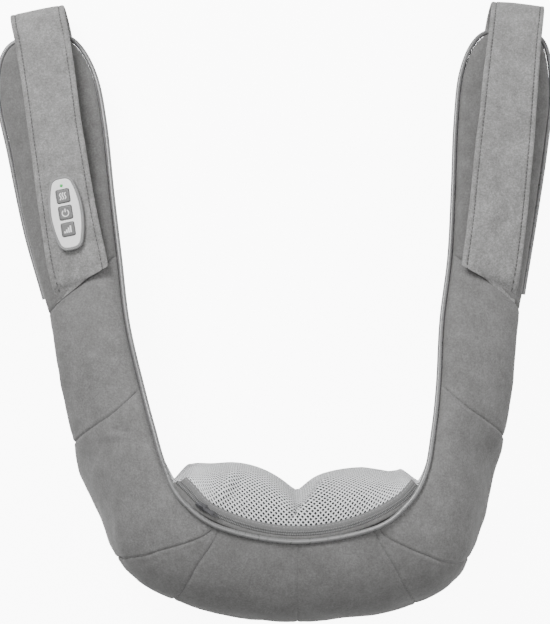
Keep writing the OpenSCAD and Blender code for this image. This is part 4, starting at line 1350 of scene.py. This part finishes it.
@dataclass
class Controls:
    """The control plate on the left strap: bezel, white fascia, three buttons and a lamp."""

    at: Point = (-212.0, 325.0, 93.2)
    turn: Point = (-7.0, -9.5, 10.9)
    side_radius: float = 88.0
    corner: float = 7.0
    half_width: float = 14.0
    half_length: float = 32.5
    end_shift: float = 5.0
    button: float = 12.6
    pitch: float = 15.7
    offset: float = 0.4
    led_y: float = 26.0

    @property
    def place(self) -> Matrix:
        """Takes the plate's own frame, in metres, to the collar's."""
        turn = Euler([math.radians(a) for a in self.turn], "XYZ").to_matrix().to_4x4()
        return Matrix.Translation(Vector(self.at) * MM) @ turn

    def outline(self, grow: float, fine: int = 9) -> np.ndarray:
        """The plate's outline, grown outwards: bowed sides, flat bowed ends and round corners."""
        side_x, end_y = self.half_width - self.side_radius, -self.end_shift
        side_r, end_r = self.side_radius - self.corner, self.half_length + self.end_shift - self.corner
        gap = np.array([-side_x, end_y])
        d = float(np.linalg.norm(gap))
        a = (side_r**2 - end_r**2 + d**2) / (2 * d)
        h = math.sqrt(side_r**2 - a**2)
        centre = np.array([side_x, 0]) + a * gap / d + h * np.array([-gap[1], gap[0]]) / d
        to_side = math.atan2(centre[1], centre[0] - side_x)
        to_end = math.atan2(centre[1] - end_y, centre[0])
        arcs = [((side_x, 0.0), self.side_radius + grow, np.linspace(0, to_side, fine)),
                (tuple(centre), self.corner + grow, np.linspace(to_side, to_end, fine)[1:]),
                ((0.0, end_y), self.half_length + self.end_shift + grow, np.linspace(to_end, np.pi / 2, fine)[1:])]
        quarter = np.concatenate([np.stack([c[0] + r * np.cos(t), c[1] + r * np.sin(t)], axis=1)
                                  for c, r, t in arcs])
        half = np.concatenate([quarter, (quarter * [-1, 1])[-2::-1]])
        return np.concatenate([half, (half * [1, -1])[-2:0:-1]])

    def swept(self, profile: Sequence[tuple[float, float]], closed: bool) -> bmesh.types.BMesh:
        """Carry a profile of (grow, height) round the outline."""
        rings = [np.concatenate([self.outline(g), np.full((len(self.outline(g)), 1), z)], axis=1)
                 for g, z in profile]
        if closed:
            rings.append(rings[0])
        bm = sheet_grid(np.array(rings), around=True)
        if closed:
            bmesh.ops.remove_doubles(bm, verts=bm.verts[:], dist=1e-6)
        else:
            capped(bm)
        bmesh.ops.recalc_face_normals(bm, faces=bm.faces[:])
        return bm

    def rounded(self, width: float, radius: float, y: float = 0.0, fine: int = 5) -> list[tuple[float, float]]:
        """A rounded square centred on the plate's long axis."""
        h, out = width / 2 - radius, []
        for k, (sx, sy) in enumerate(((1, 1), (-1, 1), (-1, -1), (1, -1))):
            for a in np.linspace(k * math.pi / 2, (k + 1) * math.pi / 2, fine):
                out.append((sx * h + radius * math.cos(a), y + sy * h + radius * math.sin(a)))
        return out

    def placed(self, name: str, bm: bmesh.types.BMesh, finish: Finish, body: str = COLLAR,
               nodes: Iterable[str] = (), sharp: float = 38.0) -> bpy.types.Object:
        """Move a shape on to the strap and make it a piece."""
        bmesh.ops.transform(bm, matrix=self.place, verts=bm.verts[:])
        return piece(name, bm, [finish], body, nodes, sharp)

    def button_y(self, mode: Mode) -> float:
        """Place of a button along the plate."""
        return mode.value * self.pitch + self.offset

    def fascia(self) -> None:
        """Mould the white fascia, with a well for each button and the lamp."""
        bm = bmesh.new()
        wells = [self.rounded(self.button + 0.9, 2.0, self.button_y(m)) for m in Mode]
        wells.append([(1.55 * math.cos(a), self.led_y + 1.55 * math.sin(a))
                      for a in np.linspace(0, 2 * math.pi, 20, False)])
        rim = [tuple(p) for p in self.outline(-0.9)]
        plate(bm, [rim, *wells], 2.4, 3.4)
        bmesh.ops.recalc_face_normals(bm, faces=bm.faces[:])
        self.placed("control_fascia_face", bm, FASCIA, nodes=["control_fascia"], sharp=30)
        shoulder = [(-0.95, 2.4), (0.0, 2.4), (0.0, 4.7), (-0.1, 5.2), (-0.35, 5.6), (-0.7, 5.78), (-0.95, 5.8)]
        self.placed("control_fascia_edge", self.swept(shoulder, True), FASCIA, sharp=50)

    def button_cap(self, mode: Mode) -> None:
        """Mould a button with a dished top, and its raised white symbol."""
        y = self.button_y(mode)
        rings = []
        for inset, z in ((-0.55, 1.6), (-0.55, 2.8), (0.0, 3.0), (0.0, 5.5), (0.12, 5.95), (0.45, 6.25),
                         (0.9, 6.38),
                         (2.2, 6.3), (4.0, 6.2)):
            loop = self.rounded(self.button - 2 * inset, max(1.7 - inset * 0.4, 0.4), y, 6)
            rings.append([(px, py, z) for px, py in loop])
        bm = capped(sheet_grid(np.array(rings), around=True))
        self.placed(mode.node + "_cap", bm, BUTTON, mode.body, [mode.node])
        bm = bmesh.new()
        for outline in self.symbol(mode):
            plate(bm, [[(px, py + y) for px, py in outline]], 6.2, 0.28)
        bmesh.ops.recalc_face_normals(bm, faces=bm.faces[:])
        self.placed(mode.node + "_symbol", bm, ICON, mode.body)

    def symbol(self, mode: Mode) -> list[list[tuple[float, float]]]:
        """Outlines of a button's symbol about its own middle."""
        if mode is Mode.HEAT:
            wave = [(0.9 * math.sin(t * 2 * math.pi) + (t - 0.5) * 1.6, (t - 0.5) * 6.4)
                    for t in np.linspace(0, 1, 15)]
            return [ribbon([(x + shift, y) for x, y in wave], 0.95) for shift in (-2.3, 0, 2.3)]
        if mode is Mode.POWER:
            sweep = np.linspace(math.radians(125), math.radians(415), 25)
            return [ribbon([(3.1 * math.cos(a), 3.1 * math.sin(a) - 0.4) for a in sweep], 0.9),
                    ribbon([(0, 0.4), (0, 3.7)], 0.95)]
        return [[(x, -3.2), (x + 1.35, -3.2), (x + 1.35, -3.2 + h), (x, -3.2 + h)]
                for x, h in ((-3.9, 1.8), (-1.95, 3.2), (0.0, 4.7), (1.95, 6.3))]

    def make(self) -> None:
        """Build the whole control plate."""
        bezel = [(0.15, 2.4), (2.35, 2.4), (2.4, 3.0), (2.35, 4.2), (2.1, 4.9), (1.6, 5.3), (1.0, 5.4),
                 (0.45, 5.2),
                 (0.15, 4.8)]
        self.placed("control_bezel_ring", self.swept(bezel, True), BEZEL, nodes=["control_bezel"], sharp=60)
        self.fascia()
        for mode in Mode:
            self.button_cap(mode)
        bm = bmesh.new()
        bmesh.ops.create_uvsphere(bm, u_segments=24, v_segments=12, radius=1.5 * MM)
        bmesh.ops.scale(bm, vec=(1, 1, 0.45), verts=bm.verts[:])
        bmesh.ops.translate(bm, vec=(0, self.led_y * MM, 5.75 * MM), verts=bm.verts[:])
        self.placed("led_dome", bm, LED, nodes=["led_lens"])


# ---------------------------------------------------------------- inside and outside fittings


@dataclass
class Fittings:
    """The parts carried over from the frame as they are, each in its own finish."""

    finishes: dict[str, Finish] = field(default_factory=lambda: {
        "rear_housing": HOUSING, "front_housing": HOUSING, "housing_screws": STEEL, "motor_can": STEEL,
        "motor_end_cap": HOUSING, "motor_clamp": STEEL, "motor_shaft": STEEL, "motor_rotor": COPPER,
        "worm": HOUSING, "worm_bush": BRASS, "worm_wheel": GEAR, "output_shaft": STEEL, "carrier": HOUSING,
        "carrier_screw": STEEL, "large_nodes": NODE_RUBBER, "small_nodes": NODE_RUBBER, "shaft_bushes": BRASS,
        "heat_lamps": LAMP, "main_board": CIRCUIT, "dc_jack": JACK, "jack_nut": STEEL,
        "control_board": CIRCUIT,
        "control_case": HOUSING, "control_cable": CABLE, "arm_foam_left": FOAM, "arm_foam_right": FOAM,
        "back_foam": FOAM,
    })

    def make(self) -> None:
        """Dress every node that still shows."""
        for name, node in sorted(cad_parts.items()):
            if node.hide_render:
                continue
            finish = self.finishes.get(name) or self.finishes.get(name.split("_", 1)[1])
            if finish is None:
                raise KeyError(f"no finish for {name}")
            if not node.material_slots:
                node.data.materials.append(None)
            for place in node.material_slots:
                place.material = finish.material()
            LOG.info("%s: frame part in %s", name, finish.name)


@dataclass
class Studio:
    """Pale floor, soft lights and the camera."""

    camera_at: Point = (-0.0205, 0.2346, 1.8)
    lens: float = 106.7
    floor_glow: float = 9.0

    def floor(self) -> None:
        """Lay a wide pale floor that stays bright to its edges."""
        bm = bmesh.new()
        bmesh.ops.create_grid(bm, x_segments=1, y_segments=1, size=14.0)
        mesh = bpy.data.meshes.new("floor")
        bm.to_mesh(mesh)
        bm.free()
        obj = bpy.data.objects.new("floor", mesh)
        bpy.context.scene.collection.objects.link(obj)
        obj.location.z = -0.0004
        recipe = Recipe("floor_white")
        seen = recipe.tree.nodes.new("ShaderNodeLightPath").outputs["Is Camera Ray"]
        recipe.set(base_color=tone(232), roughness=0.9, specular_ior_level=0.1, emission_color=(1, 1, 1, 1),
                   emission_strength=recipe.maths("MULTIPLY", seen, self.floor_glow))
        mesh.materials.append(recipe.material)

    def lamp(self, name: str, at: Point, size: float, watts: float, aim: Point = (0, 0.2, 0.05)) -> None:
        """Hang one square soft box that faces the collar."""
        data = bpy.data.lights.new(name, "AREA")
        data.size, data.energy = size, watts
        obj = bpy.data.objects.new(name, data)
        bpy.context.scene.collection.objects.link(obj)
        obj.location = at
        obj.rotation_euler = (Vector(aim) - Vector(at)).to_track_quat("-Z", "Y").to_euler()

    def make(self) -> None:
        """Set up floor, world, lights and camera."""
        self.floor()
        world = bpy.data.worlds.new("studio")
        bpy.context.scene.world = world
        world.use_nodes = True
        sky = world.node_tree.nodes["Background"]
        sky.inputs["Color"].default_value = (1, 1, 1, 1)
        sky.inputs["Strength"].default_value = 0.34
        self.lamp("key", (-0.9, 1.7, 1.7), 0.9, 66)
        self.lamp("fill", (1.6, 0.6, 1.6), 1.6, 20)
        self.lamp("top", (-0.2, 0.5, 2.6), 1.2, 24)
        data = bpy.data.cameras.new("camera")
        data.lens, data.sensor_width = self.lens, 36
        camera = bpy.data.objects.new("camera", data)
        bpy.context.scene.collection.objects.link(camera)
        camera.location = self.camera_at
        bpy.context.scene.camera = camera


def main() -> None:
    """Build the massager from the collar to the controls, then dress the rest."""
    logging.basicConfig(level=logging.INFO, format="%(message)s")
    Studio().make()
    Collar().make()
    HandStrap(Half.LEFT, LEFT_STRAP, 15.0).make()
    HandStrap(Half.RIGHT, RIGHT_STRAP, 17.0).make()
    MeshFront().make()
    Zipper().make()
    BasePanel().make()
    Controls().make()
    Fittings().make()


if __name__ == "__main__":
    main()
